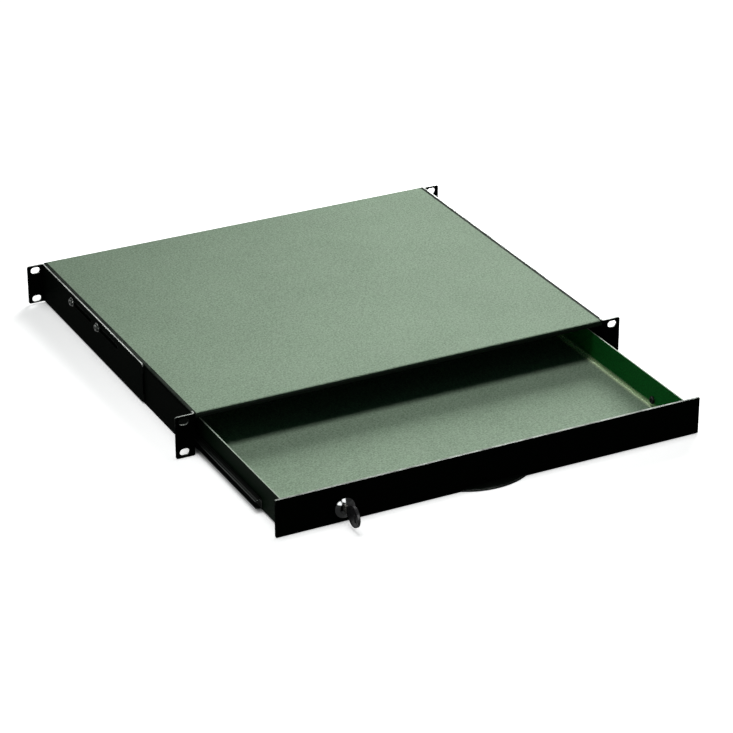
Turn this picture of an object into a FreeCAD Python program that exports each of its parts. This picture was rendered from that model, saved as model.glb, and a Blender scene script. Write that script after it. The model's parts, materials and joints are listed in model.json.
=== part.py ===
import FreeCAD, Part
import math
import os
import Sketcher

# Keyboard drawer for a 19 inch rack, one rack unit high, shown about three quarters open with its key in.
# Millimetres. X runs to the right, Y to the back, Z up. The origin is the middle of the four front rack
# slots, on the face of the ears that seats on the rack. Left-hand pieces are modelled, the right are mirrored.

DRIVING_SIZES = {
    # rack standard
    "rack_width": 482.6,
    "ear_height": 43.65,
    "ear_reach": 18.8,
    "slot_inset": 8.75,
    "slot_pitch_high": 31.75,
    "slot_length": 10.0,
    "slot_width": 6.8,
    "ear_corner": 2.0,
    # case
    "wall_sheet": 1.5,
    "cover_sheet": 1.2,
    "bend_radius": 1.5,
    "top_flange": 12.0,
    "front_lip": 5.0,
    "lip_gap": 0.5,
    "ear_relief": 6.0,
    "rear_space": 38.5,
    "rear_tab": 12.0,
    "cable_width": 160.0,
    "cable_height": 20.0,
    # rear brackets
    "bracket_length": 266.0,
    "bracket_rise": 1.2,
    "bracket_drop": 0.45,
    "bracket_gap": 0.2,
    "bracket_corner": 4.0,
    "bracket_slot_length": 54.0,
    "bracket_slot_width": 4.6,
    "bracket_screw_drop": 9.65,
    "bracket_screw_setback": 83.0,
    "bracket_screw_pitch": 68.0,
    # screws and nuts
    "screw_radius": 1.9,
    "screw_clearance": 0.1,
    "head_radius": 3.9,
    "head_height": 2.2,
    "washer_radius": 4.8,
    "washer_sheet": 0.8,
    "nut_radius": 4.0,
    "nut_height": 3.2,
    # drawer
    "drawer_open": 174.5,
    "tray_tail": 3.0,
    "tray_drop": 11.65,
    "tray_lift": 0.6,
    "tray_sheet": 1.2,
    "tray_bend": 1.2,
    "notch_width": 90.0,
    "notch_depth": 18.0,
    "notch_corner": 4.0,
    "panel_side_gap": 0.5,
    "panel_drop": 5.55,
    "panel_lift": 0.3,
    "panel_sheet": 2.0,
    "panel_gap": 0.5,
    "panel_corner": 1.0,
    "pull_chord": 69.0,
    "pull_reach": 9.2,
    "pull_bend": 1.5,
    "stud_inset": 32.2,
    "stud_pitch": 120.0,
    "stud_rise": 16.0,
    # ball slides
    "slide_length": 300.0,
    "slide_overlap": 75.0,
    "slide_setback": 46.5,
    "slide_space": 8.8,
    "slide_height": 17.0,
    "slide_rise": 8.7,
    "slide_sheet": 1.0,
    "slide_screw_setback": 15.0,
    "slide_fold": 1.2,
    "ball_radius": 1.5,
    "ball_pitch": 12.5,
    "race_gap": 0.2,
    "groove_open": 40.0,
    "groove_tip": 110.0,
    "cage_margin": 2.25,
    "cage_sheet": 0.4,
    "cage_gap": 0.2,
    "cage_finger": 0.6,
    "pocket_gap": 0.12,
    "buffer_length": 8.0,
    "buffer_gap": 0.5,
    # lock and key
    "lock_inset": 68.5,
    "lock_rise": 13.7,
    "rim_radius": 10.0,
    "rim_height": 2.4,
    "rim_fall": 1.6,
    "rim_flat": 0.9,
    "barrel_radius": 8.0,
    "barrel_length": 12.0,
    "barrel_gap": 0.1,
    "plug_radius": 5.5,
    "plug_gap": 0.05,
    "plug_recess": 0.3,
    "lock_nut_radius": 11.5,
    "lock_nut_height": 3.0,
    "tail_width": 6.0,
    "cam_headroom": 1.5,
    "cam_width": 13.0,
    "cam_sheet": 2.0,
    "cam_gap": 0.3,
    "cam_play": 0.8,
    "cam_screw_radius": 4.5,
    "cam_screw_height": 2.0,
    "keeper_width": 44.0,
    "keeper_catch": 3.5,
    "keeper_seat": 14.0,
    "blade_sheet": 2.0,
    "blade_width": 7.0,
    "blade_depth": 10.0,
    "blade_seat": 8.0,
    "keyway_gap": 0.15,
    "bitting_pitch": 2.0,
    "bitting_depth": 1.2,
    "bow_radius": 10.4,
    "bow_reach": 18.8,
    "bow_sheet": 3.2,
    "bow_bevel": 0.6,
    "collar_width": 10.0,
    "collar_reach": 6.5,
    "ring_hole_length": 8.0,
    "ring_hole_width": 3.4,
    "ring_hole_offset": 4.5,
}

balls_in_row = 5
bitting_count = 4
head_sides = 12
tiny = 1e-4


class Size:
    # A length or angle: its value now, and the formula over the sheet's cells that gives it.
    def __init__(self, value, formula):
        self.value = value
        self.formula = formula

    def __add__(self, other):
        other = as_size(other)
        return Size(self.value + other.value, f"({self.formula} + {other.formula})")

    def __sub__(self, other):
        other = as_size(other)
        return Size(self.value - other.value, f"({self.formula} - {other.formula})")

    def __mul__(self, other):
        other = as_size(other)
        return Size(self.value * other.value, f"({self.formula} * {other.formula})")

    def __truediv__(self, other):
        other = as_size(other)
        return Size(self.value / other.value, f"({self.formula} / {other.formula})")

    def __neg__(self):
        return Size(-self.value, f"(0 - {self.formula})")


def as_size(number):
    if isinstance(number, Size):
        return number
    return Size(float(number), f"({float(number)})")


def cosine(angle):
    return Size(math.cos(math.radians(angle.value)), f"cos({angle.formula} * 1 deg)")


def sine(angle):
    return Size(math.sin(math.radians(angle.value)), f"sin({angle.formula} * 1 deg)")


def root(number):
    return Size(math.sqrt(number.value), f"sqrt({number.formula})")


doc = FreeCAD.newDocument("rack_keyboard_drawer")
sheet = doc.addObject("Spreadsheet::Sheet", "sizes")
cell = {}
for row, (name, number) in enumerate(DRIVING_SIZES.items(), 1):
    sheet.set(f"A{row}", name)
    sheet.set(f"B{row}", str(number))
    sheet.setAlias(f"B{row}", name)
    cell[name] = Size(number, f"sizes.{name}")
doc.recompute()

zero = as_size(0)

# places in the case
half_rack = cell["rack_width"] / 2
half_case = half_rack - cell["ear_reach"]
half_inside = half_case - cell["wall_sheet"]
front = -cell["wall_sheet"]
slide_front = front + cell["slide_setback"]
slide_back = slide_front + cell["slide_length"]
back = slide_back + cell["rear_space"]
low = -cell["ear_height"] / 2
high = cell["ear_height"] / 2
wall_top = high - cell["cover_sheet"]
flange_under = wall_top - cell["wall_sheet"]
bend_under = flange_under - cell["bend_radius"]
neck_back = cell["ear_relief"] - cell["wall_sheet"]
slot_x = half_rack - cell["slot_inset"]
slot_z = cell["slot_pitch_high"] / 2

# places in the drawer, as it stands open
half_tray = half_inside - cell["slide_space"]
half_panel = half_case - cell["panel_side_gap"]
panel_back = front - cell["panel_gap"] - cell["drawer_open"]
panel_front = panel_back - cell["panel_sheet"]
panel_low = low + cell["panel_lift"]
panel_high = high - cell["panel_drop"]
tray_low = low + cell["tray_lift"]
tray_top = high - cell["tray_drop"]
tray_height = tray_top - tray_low
tray_back = slide_back - cell["drawer_open"] + cell["tray_tail"]
tray_inside = half_tray - cell["tray_sheet"]

# places in the slides
slide_z = low + cell["slide_rise"]
race = cell["ball_radius"] + cell["race_gap"]
race_out = race + cell["slide_sheet"]
ball_z = cell["slide_height"] / 2 - race_out
inner_length = cell["slide_length"] - cell["buffer_length"] - cell["buffer_gap"]
inner_front = slide_front - cell["drawer_open"]
travel = cell["slide_length"] - cell["slide_overlap"]
cage_length = (cell["slide_overlap"] - cell["buffer_length"] - cell["buffer_gap"]
               - cell["cage_margin"] * 2)
cage_front = slide_front + cell["cage_margin"] + (travel - cell["drawer_open"]) / 2

# places in the rear brackets and in the lock
bracket_in = half_case + cell["bracket_gap"]
bracket_out = bracket_in + cell["wall_sheet"]
bracket_low = low + cell["bracket_rise"]
bracket_high = high - cell["bracket_drop"]
bracket_front = back - cell["bracket_length"]
bracket_screw_z = high - cell["bracket_screw_drop"]
lock_x = cell["lock_inset"] - half_panel
lock_z = panel_low + cell["lock_rise"]
stud_z = tray_low + cell["stud_rise"]
clamped = cell["panel_sheet"] + cell["tray_sheet"]
plug_back = cell["barrel_length"] + cell["cam_gap"]
cam_front_closed = front - cell["panel_gap"] - cell["panel_sheet"] + plug_back
cam_reach = bend_under - cell["cam_headroom"] - lock_z
keeper_back = cam_front_closed - cell["cam_play"]
keeper_low = lock_z + cam_reach - cell["keeper_catch"]


def bind(thing, name, size):
    thing.setExpression(name, as_size(size).formula)


def place(thing, x, y, z, rotation=None):
    place_now = FreeCAD.Vector(as_size(x).value, as_size(y).value, as_size(z).value)
    thing.Placement = FreeCAD.Placement(place_now, rotation or FreeCAD.Rotation())
    bind(thing, "Placement.Base.x", x)
    bind(thing, "Placement.Base.y", y)
    bind(thing, "Placement.Base.z", z)


def new_body(label):
    body = doc.addObject("PartDesign::Body", label)
    body.Label = label
    return body


def origin_plane(body, role):
    return next(item for item in body.Origin.OriginFeatures if item.Role == role)


def pin_point(sketch, run, end, axis, size):
    # Hold one coordinate of a point of the sketch at a size of the sheet.
    size = as_size(size)
    number = sketch.addConstraint(Sketcher.Constraint(f"Distance{axis}", -1, 1, run, end, size.value))
    name = f"at{number}"
    sketch.renameConstraint(number, name)
    sketch.setExpression(f"Constraints.{name}", size.formula)


def flat_point(corner):
    return FreeCAD.Vector(as_size(corner[0]).value, as_size(corner[1]).value, 0)


def draw_circle(sketch, x, y, radius):
    run = sketch.addGeometry(Part.Circle(flat_point((x, y)), FreeCAD.Vector(0, 0, 1), as_size(radius).value))
    pin_point(sketch, run, 3, "X", x)
    pin_point(sketch, run, 3, "Y", y)
    number = sketch.addConstraint(Sketcher.Constraint("Radius", run, as_size(radius).value))
    name = f"at{number}"
    sketch.renameConstraint(number, name)
    sketch.setExpression(f"Constraints.{name}", as_size(radius).formula)


def draw_outline(sketch, corners):
    # Closed outline. A corner is (x, y), or (x, y, centre x, centre y, turn) where an arc leaves it:
    # turn is 1 for an arc that runs anticlockwise and -1 for clockwise.
    count = len(corners)
    runs = []
    for index, corner in enumerate(corners):
        here = flat_point(corner)
        there = flat_point(corners[(index + 1) % count])
        if len(corner) == 2:
            runs.append((sketch.addGeometry(Part.LineSegment(here, there)), 1, 2))
            continue
        centre = flat_point(corner[2:4])
        circle = Part.Circle(centre, FreeCAD.Vector(0, 0, 1), (here - centre).Length)
        begin = math.atan2(here.y - centre.y, here.x - centre.x)
        end = math.atan2(there.y - centre.y, there.x - centre.x)
        if corner[4] < 0:
            begin, end = end, begin
        if end <= begin:
            end += 2 * math.pi
        run = sketch.addGeometry(Part.ArcOfCircle(circle, begin, end))
        runs.append((run, 1, 2) if corner[4] > 0 else (run, 2, 1))
    for index, corner in enumerate(corners):
        run, start, end = runs[index]
        following, next_start, next_end = runs[(index + 1) % count]
        sketch.addConstraint(Sketcher.Constraint("Coincident", run, end, following, next_start))
        before = corners[index - 1]
        axes = "XY"
        if len(before) > 2:
            # A point that an arc ends on needs one coordinate only: the one that changes along the arc there.
            spoke = flat_point(corner) - flat_point(before[2:4])
            axes = "Y" if abs(spoke.x) >= abs(spoke.y) else "X"
        for axis in axes:
            pin_point(sketch, run, start, axis, corner["XY".index(axis)])
        if len(corner) > 2:
            pin_point(sketch, run, 3, "X", corner[2])
            pin_point(sketch, run, 3, "Y", corner[3])


def rectangle(x_low, y_low, x_high, y_high):
    return [(x_low, y_low), (x_high, y_low), (x_high, y_high), (x_low, y_high)]


def slot(x, y, length, width):
    # Round-ended slot along the sketch's first axis.
    reach = (as_size(length) - width) / 2
    half = as_size(width) / 2
    x = as_size(x)
    y = as_size(y)
    return [(x - reach, y - half),
            (x + reach, y - half, x + reach, y, 1),
            (x + reach, y + half),
            (x - reach, y + half, x - reach, y, 1)]


def hexagon(x, y, radius):
    # Six-sided outline with two corners on the sketch's first axis.
    side = radius * (math.sqrt(3) / 2)
    half = radius / 2
    return [(x + radius, y), (x + half, y + side), (x - half, y + side),
            (x - radius, y), (x - half, y - side), (x + half, y - side)]


def screw_hole(x, y):
    # Six-sided hole whose flats clear the corners of a screw's shank.
    return hexagon(x, y, (cell["screw_radius"] + cell["screw_clearance"]) * (2 / math.sqrt(3)))


def new_sketch(body, name, role, at, loops):
    # The sketch lies on an origin plane of its body, moved along that plane's axis to the coordinate at.
    sketch = body.newObject("Sketcher::SketchObject", name)
    sketch.AttachmentSupport = (origin_plane(body, role), [""])
    sketch.MapMode = "FlatFace"
    at = as_size(at)
    offset = -at if role == "XZ_Plane" else at
    sketch.AttachmentOffset = FreeCAD.Placement(FreeCAD.Vector(0, 0, offset.value), FreeCAD.Rotation())
    bind(sketch, "AttachmentOffset.Base.z", offset)
    for loop in loops:
        if isinstance(loop, tuple):
            draw_circle(sketch, *loop)
        else:
            draw_outline(sketch, loop)
    return sketch


def add_pad(body, name, role, start, length, *loops):
    # Material from start towards the plus end of the plane's axis. A loop is an outline, or (x, y, radius).
    feature = body.newObject("PartDesign::Pad", name)
    feature.Profile = new_sketch(body, name + "_outline", role, start, loops)
    feature.Reversed = role == "XZ_Plane"
    bind(feature, "Length", length)
    body.Tip = feature
    doc.recompute()


def cut_pocket(body, name, role, start, length, *loops):
    # Cut from start towards the plus end of the plane's axis, or right through if length is None.
    before = body.Shape.Volume
    feature = body.newObject("PartDesign::Pocket", name)
    feature.Profile = new_sketch(body, name + "_outline", role, start, loops)
    if length is None:
        feature.Type = "ThroughAll"
        feature.SideType = "Symmetric"
    else:
        feature.Reversed = role != "XZ_Plane"
        bind(feature, "Length", length)
    body.Tip = feature
    doc.recompute()
    if body.Shape.Volume > before - tiny:
        raise RuntimeError(f"{name} cuts nothing")


def on_place(edge, where):
    ends = [vertex.Point for vertex in edge.Vertexes]
    return all(abs(getattr(end, axis) - as_size(size).value) < tiny
               for end in ends for axis, size in where.items())


def round_edges(body, name, radius, *places):
    # Fillet each edge that lies wholly on one of the places, such as {"x": ..., "z": ...}.
    base = body.Tip
    names = [f"Edge{number}" for number, edge in enumerate(base.Shape.Edges, 1)
             if any(on_place(edge, where) for where in places)]
    if not names:
        raise RuntimeError(f"{name} finds no edge")
    feature = body.newObject("PartDesign::Fillet", name)
    feature.Base = (base, names)
    bind(feature, "Radius", radius)
    body.Tip = feature
    doc.recompute()


def bevel_edges(body, name, width, *places):
    # Chamfer each edge that lies wholly on one of the places.
    base = body.Tip
    names = [f"Edge{number}" for number, edge in enumerate(base.Shape.Edges, 1)
             if any(on_place(edge, where) for where in places)]
    if not names:
        raise RuntimeError(f"{name} finds no edge")
    feature = body.newObject("PartDesign::Chamfer", name)
    feature.Base = (base, names)
    bind(feature, "Size", width)
    body.Tip = feature
    doc.recompute()


def mirrored(source, label):
    other = doc.addObject("Part::Mirroring", label)
    other.Label = label
    other.Source = source
    other.Base = FreeCAD.Vector(0, 0, 0)
    other.Normal = FreeCAD.Vector(1, 0, 0)
    return other


def prism(name, sides, radius, length, at, rotation):
    # Many-sided bar along the turned Z axis. The radius is that of its corners.
    thing = doc.addObject("Part::Prism", name)
    thing.Polygon = sides
    bind(thing, "Circumradius", radius)
    bind(thing, "Height", length)
    place(thing, *at, rotation)
    return thing


def cylinder(name, radius, length, at, rotation):
    thing = doc.addObject("Part::Cylinder", name)
    bind(thing, "Radius", radius)
    bind(thing, "Height", length)
    place(thing, *at, rotation)
    return thing


def cut(name, base, tool):
    thing = doc.addObject("Part::Cut", name)
    thing.Base = base
    thing.Tool = tool
    return thing


def fuse(name, things):
    thing = doc.addObject("Part::MultiFuse", name)
    thing.Shapes = things
    return thing


def group(label, things):
    thing = doc.addObject("Part::Compound", label)
    thing.Label = label
    thing.Links = things
    return thing


towards_right = FreeCAD.Rotation(FreeCAD.Vector(0, 1, 0), 90)
towards_left = FreeCAD.Rotation(FreeCAD.Vector(0, 1, 0), -90)
towards_back = FreeCAD.Rotation(FreeCAD.Vector(1, 0, 0), -90)
towards_front = FreeCAD.Rotation(FreeCAD.Vector(1, 0, 0), 90)
on_flat_z = FreeCAD.Rotation(FreeCAD.Vector(0, 0, 1), 22.5)
on_flat_x = towards_right.multiply(on_flat_z)
on_flat_y = towards_back.multiply(on_flat_z)


def top_cover():
    # Plain sheet on the side walls' flanges, with a lip folded down along its front edge between the walls.
    # Its front corners are notched for the necks of the ears.
    body = new_body("top_cover")
    sheet_under = high - cell["cover_sheet"]
    lip_back = front + cell["cover_sheet"]
    half_lip = half_inside - cell["lip_gap"]
    fold = [(front, high - cell["front_lip"]), (lip_back, high - cell["front_lip"]), (lip_back, sheet_under),
            (back, sheet_under), (back, high), (front, high)]
    add_pad(body, "cover_fold", "YZ_Plane", -half_lip, half_lip * 2, fold)
    full_width = rectangle(-half_case, neck_back + cell["lip_gap"], half_case, back)
    add_pad(body, "cover_plate", "XY_Plane", sheet_under, cell["cover_sheet"], full_width)
    round_edges(body, "cover_bend_outside", cell["bend_radius"] + cell["cover_sheet"], {"y": front, "z": high})
    round_edges(body, "cover_bend_inside", cell["bend_radius"], {"y": lip_back, "z": sheet_under})
    return body


def slide_screw_places():
    # Tray screws along the drawer member, from its front end.
    return [cell["slide_screw_setback"], inner_length - cell["slide_screw_setback"]]


def bracket_screw_places():
    rear = back - cell["bracket_screw_setback"]
    return [rear, rear - cell["bracket_screw_pitch"]]


def side_wall():
    # Folded wall: a flange on top carries the cover, and the front end is folded out into the rack ear.
    # A slit parts the flange from the neck of the ear, which stands as high as the cover.
    body = new_body("side_wall_left")
    sheet_now = cell["wall_sheet"]
    outside = -half_case
    inside = -half_inside
    ear_root = outside - sheet_now - cell["bend_radius"]
    flange_edge = outside + cell["top_flange"]
    section = [(outside, low), (inside, low), (inside, flange_under), (flange_edge, flange_under),
               (flange_edge, wall_top), (outside, wall_top)]
    add_pad(body, "wall_section", "XZ_Plane", cell["ear_relief"], back - cell["ear_relief"], section)
    add_pad(body, "wall_under_slit", "XY_Plane", low, bend_under - low,
            rectangle(outside, neck_back, inside, cell["ear_relief"]))
    neck = [(ear_root, front), (inside, front), (inside, neck_back), (outside, neck_back),
            (outside, zero), (ear_root, zero)]
    add_pad(body, "ear_neck", "XY_Plane", low, high - low, neck)
    add_pad(body, "ear", "XZ_Plane", front, sheet_now,
            rectangle(-half_rack, low, ear_root, high),
            slot(-slot_x, slot_z, cell["slot_length"], cell["slot_width"]),
            slot(-slot_x, -slot_z, cell["slot_length"], cell["slot_width"]))
    round_edges(body, "wall_bends_outside", cell["bend_radius"] + sheet_now,
                {"x": outside, "z": wall_top}, {"x": inside, "y": front})
    round_edges(body, "wall_bends_inside", cell["bend_radius"],
                {"x": inside, "z": flange_under}, {"x": outside, "y": zero})
    round_edges(body, "ear_corners", cell["ear_corner"],
                {"x": -half_rack, "z": low}, {"x": -half_rack, "z": high})
    cut_pocket(body, "bracket_holes", "YZ_Plane", 0, None,
               *[screw_hole(y, bracket_screw_z) for y in bracket_screw_places()])
    return body


def rear_panel():
    # Back of the case: tabs folded forward along the walls and under the cover, and an opening for cables.
    body = new_body("rear_panel")
    sheet_now = cell["cover_sheet"]
    tab_front = back - cell["rear_tab"]
    plate_front = back - sheet_now
    outside = half_inside
    inside = half_inside - sheet_now
    half_top_tab = half_case - cell["top_flange"] - cell["lip_gap"]
    pan = [(-outside, tab_front), (-inside, tab_front), (-inside, plate_front), (inside, plate_front),
           (inside, tab_front), (outside, tab_front), (outside, back), (-outside, back)]
    add_pad(body, "panel_and_side_tabs", "XY_Plane", low, bend_under - low, pan)
    hood = [(plate_front, zero), (back, zero), (back, wall_top), (tab_front, wall_top),
            (tab_front, wall_top - sheet_now), (plate_front, wall_top - sheet_now)]
    add_pad(body, "top_tab", "YZ_Plane", -half_top_tab, half_top_tab * 2, hood)
    round_edges(body, "rear_bends_outside", cell["bend_radius"] + sheet_now,
                {"y": back, "z": wall_top}, {"x": -outside, "y": back}, {"x": outside, "y": back})
    round_edges(body, "rear_bends_inside", cell["bend_radius"],
                {"y": plate_front, "z": wall_top - sheet_now},
                {"x": -inside, "y": plate_front}, {"x": inside, "y": plate_front})
    cable_slot = slot(zero, zero, cell["cable_width"], cell["cable_height"])
    cut_pocket(body, "cable_opening", "XZ_Plane", plate_front - sheet_now, sheet_now * 3, cable_slot)
    return body


def rear_bracket():
    # L-shaped bracket outside the wall. Two long slots let it move back to the depth of the rack.
    body = new_body("rear_bracket_left")
    sheet_now = cell["wall_sheet"]
    ear_front = back - sheet_now
    section = [(-bracket_out, bracket_front), (-bracket_in, bracket_front), (-bracket_in, back),
               (-half_rack, back), (-half_rack, ear_front), (-bracket_out, ear_front)]
    add_pad(body, "bracket_section", "XY_Plane", bracket_low, bracket_high - bracket_low, section)
    round_edges(body, "bracket_bend_outside", cell["bend_radius"] + sheet_now, {"x": -bracket_in, "y": back})
    round_edges(body, "bracket_bend_inside", cell["bend_radius"], {"x": -bracket_out, "y": ear_front})
    round_edges(body, "bracket_corners", cell["bracket_corner"],
                {"y": bracket_front, "z": bracket_low}, {"y": bracket_front, "z": bracket_high})
    round_edges(body, "bracket_ear_corners", cell["ear_corner"],
                {"x": -half_rack, "z": bracket_low}, {"x": -half_rack, "z": bracket_high})
    cut_pocket(body, "rear_rack_slots", "XZ_Plane", 0, None,
               slot(-slot_x, slot_z, cell["slot_length"], cell["slot_width"]),
               slot(-slot_x, -slot_z, cell["slot_length"], cell["slot_width"]))
    slot_shift = (cell["bracket_slot_length"] - cell["bracket_slot_width"]) / 2
    cut_pocket(body, "depth_slots", "YZ_Plane", 0, None,
               *[slot(y - slot_shift, bracket_screw_z, cell["bracket_slot_length"], cell["bracket_slot_width"])
                 for y in bracket_screw_places()])
    return body


def headed_screw(name, seat, length, rotation, step):
    # Screw whose head seats at the given point and whose shank runs along step.
    shank = prism(name + "_shank", 6, cell["screw_radius"], length, seat, rotation)
    top = [as_size(value) - cell["head_height"] * way for value, way in zip(seat, step)]
    head = prism(name + "_head", head_sides, cell["head_radius"], cell["head_height"], top, rotation)
    return [head, shank]


def hexagon_nut(name, seat, rotation):
    blank = prism(name + "_blank", 6, cell["nut_radius"], cell["nut_height"], seat, rotation)
    hole = prism(name + "_hole", 6, cell["screw_radius"] + cell["screw_clearance"] / 2, cell["nut_height"],
                 seat, rotation)
    return cut(name, blank, hole)


def bracket_screws():
    # Screws, each with its washer, that clamp the rear brackets to the walls.
    screws = []
    washer_face = bracket_out + cell["washer_sheet"]
    length = washer_face - half_inside + cell["nut_height"] + cell["wall_sheet"] / 2
    for side, turn, sign in (("left", towards_right, 1), ("right", towards_left, -1)):
        for index, y in enumerate(bracket_screw_places()):
            name = f"bracket_screw_{side}_{index}"
            seat = (washer_face * -sign, y, bracket_screw_z)
            washer = prism(name + "_washer", head_sides, cell["washer_radius"], cell["washer_sheet"], seat, turn)
            screws.append(fuse(name, headed_screw(name, seat, length, turn, (sign, 0, 0)) + [washer]))
    return group("bracket_screws", screws)


def bracket_nuts():
    # Nuts inside the walls for the bracket screws.
    nuts = []
    for side, turn, sign in (("left", towards_right, 1), ("right", towards_left, -1)):
        for index, y in enumerate(bracket_screw_places()):
            seat = (half_inside * -sign, y, bracket_screw_z)
            nuts.append(hexagon_nut(f"bracket_nut_{side}_{index}", seat, turn))
    return group("bracket_nuts", nuts)


def slide_outer():
    # Rolled case member, spot-welded to the wall: a flat web whose edges curl round the two rows of balls.
    body = new_body("slide_outer_left")
    web = cell["slide_sheet"]
    mouth = race_out + race
    section = [(zero, -ball_z),
               (zero, ball_z, race_out, ball_z, -1),
               (race_out * 2, ball_z),
               (mouth, ball_z, race_out, ball_z, 1),
               (web, ball_z),
               (web, -ball_z, race_out, -ball_z, 1),
               (mouth, -ball_z),
               (race_out * 2, -ball_z, race_out, -ball_z, -1)]
    add_pad(body, "slide_outer_section", "XZ_Plane", 0, cell["slide_length"], section)
    place(body, -half_inside, slide_front, slide_z)
    return body


def slide_inner():
    # Rolled tray member: a channel whose flanges dip under the balls.
    body = new_body("slide_inner_left")
    gauge = cell["slide_sheet"]
    web_face = cell["slide_space"]
    face = race * sine(cell["groove_open"])
    flange_top = ball_z - face
    flange_low = flange_top - gauge
    dip_start = race_out + race * cosine(cell["groove_open"])
    tip_cosine = cosine(cell["groove_tip"])
    tip_sine = sine(cell["groove_tip"])
    tip_top = (race_out + race * tip_cosine, ball_z - race * tip_sine)
    tip_low = (race_out + race_out * tip_cosine, ball_z - race_out * tip_sine)
    fall = ball_z - flange_low
    dip_end = race_out + root(race_out * race_out - fall * fall)
    section = [(web_face, flange_top),
               (dip_start, flange_top, race_out, ball_z, -1),
               tip_top,
               (*tip_low, race_out, ball_z, 1),
               (dip_end, flange_low),
               (web_face - gauge, flange_low),
               (web_face - gauge, -flange_low),
               (dip_end, -flange_low, race_out, -ball_z, 1),
               (tip_low[0], -tip_low[1]),
               (tip_top[0], -tip_top[1], race_out, -ball_z, -1),
               (dip_start, -flange_top),
               (web_face, -flange_top)]
    add_pad(body, "slide_inner_section", "XZ_Plane", 0, inner_length, section)
    round_edges(body, "slide_inner_folds", cell["slide_fold"],
                {"x": web_face, "z": flange_top}, {"x": web_face, "z": -flange_top})
    cut_pocket(body, "slide_inner_holes", "YZ_Plane", 0, None,
               *[screw_hole(y, zero) for y in slide_screw_places()])
    place(body, -half_inside, inner_front, slide_z)
    return body


def ball_places():
    # Ball centres along the cage, from its front end.
    first = (cage_length - cell["ball_pitch"] * (balls_in_row - 1)) / 2
    return [first + cell["ball_pitch"] * index for index in range(balls_in_row)]


def ball_cage():
    # Thin channel between the members. Its fingers part the balls, and each ball has an open window.
    body = new_body("ball_cage_left")
    near = cell["slide_sheet"] + cell["cage_gap"]
    web_far = near + cell["cage_sheet"]
    lip_far = race_out + race - cell["cage_gap"]
    lip_top = ball_z + cell["cage_finger"] / 2
    lip_low = ball_z - cell["cage_finger"] / 2
    section = [(near, -lip_top), (lip_far, -lip_top), (lip_far, -lip_low), (web_far, -lip_low),
               (web_far, lip_low), (lip_far, lip_low), (lip_far, lip_top), (near, lip_top)]
    add_pad(body, "cage_section", "XZ_Plane", 0, cage_length, section)
    pocket = cell["ball_radius"] + cell["pocket_gap"]
    windows = [rectangle(race_out - pocket, y - pocket, race_out + pocket, y + pocket) for y in ball_places()]
    cut_pocket(body, "upper_windows", "XY_Plane", ball_z - pocket, pocket * 2, *windows)
    cut_pocket(body, "lower_windows", "XY_Plane", -ball_z - pocket, pocket * 2, *windows)
    place(body, -half_inside, cage_front, slide_z)
    return body


def ball(name, x, y, z):
    # Ball with few faces: what three eight-sided bars along X, Y and Z have in common. Its corners lie on the
    # ball's radius.
    flat = cell["ball_radius"] * math.sqrt(2 / 3)
    corner = flat / math.cos(math.pi / 8)
    bars = []
    for axis, (turn, dx, dy, dz) in {"x": (on_flat_x, 1, 0, 0), "y": (on_flat_y, 0, 1, 0),
                                     "z": (on_flat_z, 0, 0, 1)}.items():
        reach = cell["ball_radius"]
        start = (x - reach * dx, y - reach * dy, z - reach * dz)
        bars.append(prism(f"{name}_{axis}", 8, corner, reach * 2, start, turn))
    thing = doc.addObject("Part::MultiCommon", name)
    thing.Shapes = bars
    return thing


def slide_balls():
    # The loose balls of both slides.
    balls = []
    for side, sign in (("left", -1), ("right", 1)):
        for row, height in (("upper", ball_z), ("lower", -ball_z)):
            for index, y in enumerate(ball_places()):
                balls.append(ball(f"ball_{side}_{row}_{index}", (half_inside - race_out) * sign,
                                  cage_front + y, slide_z + height))
    return group("slide_balls", balls)


def slide_tray_screws():
    # Screws through the tray walls into the drawer members, with their heads inside the tray.
    screws = []
    length = cell["tray_sheet"] + cell["slide_sheet"] * 2
    for side, turn, sign in (("left", towards_left, -1), ("right", towards_right, 1)):
        for index, y in enumerate(slide_screw_places()):
            name = f"slide_tray_screw_{side}_{index}"
            seat = (tray_inside * sign, inner_front + y, slide_z)
            screws.append(fuse(name, headed_screw(name, seat, length, turn, (sign, 0, 0))))
    return group("slide_tray_screws", screws)


def slide_buffers():
    # Plastic stops at the rear end of the case members.
    blocks = []
    width = race_out + race - cell["slide_sheet"] - cell["cage_gap"]
    half_height = ball_z - race / 2
    for side, x in (("left", cell["slide_sheet"] - half_inside),
                    ("right", half_inside - cell["slide_sheet"] - width)):
        block = doc.addObject("Part::Box", f"slide_buffer_{side}")
        bind(block, "Length", width)
        bind(block, "Width", cell["buffer_length"])
        bind(block, "Height", half_height * 2)
        place(block, x, slide_back - cell["buffer_length"], slide_z - half_height)
        blocks.append(block)
    return group("slide_buffers", blocks)


def stud_places():
    near = cell["stud_pitch"] / 2
    far = half_tray - cell["stud_inset"]
    return [-far, -near, near, far]


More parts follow.
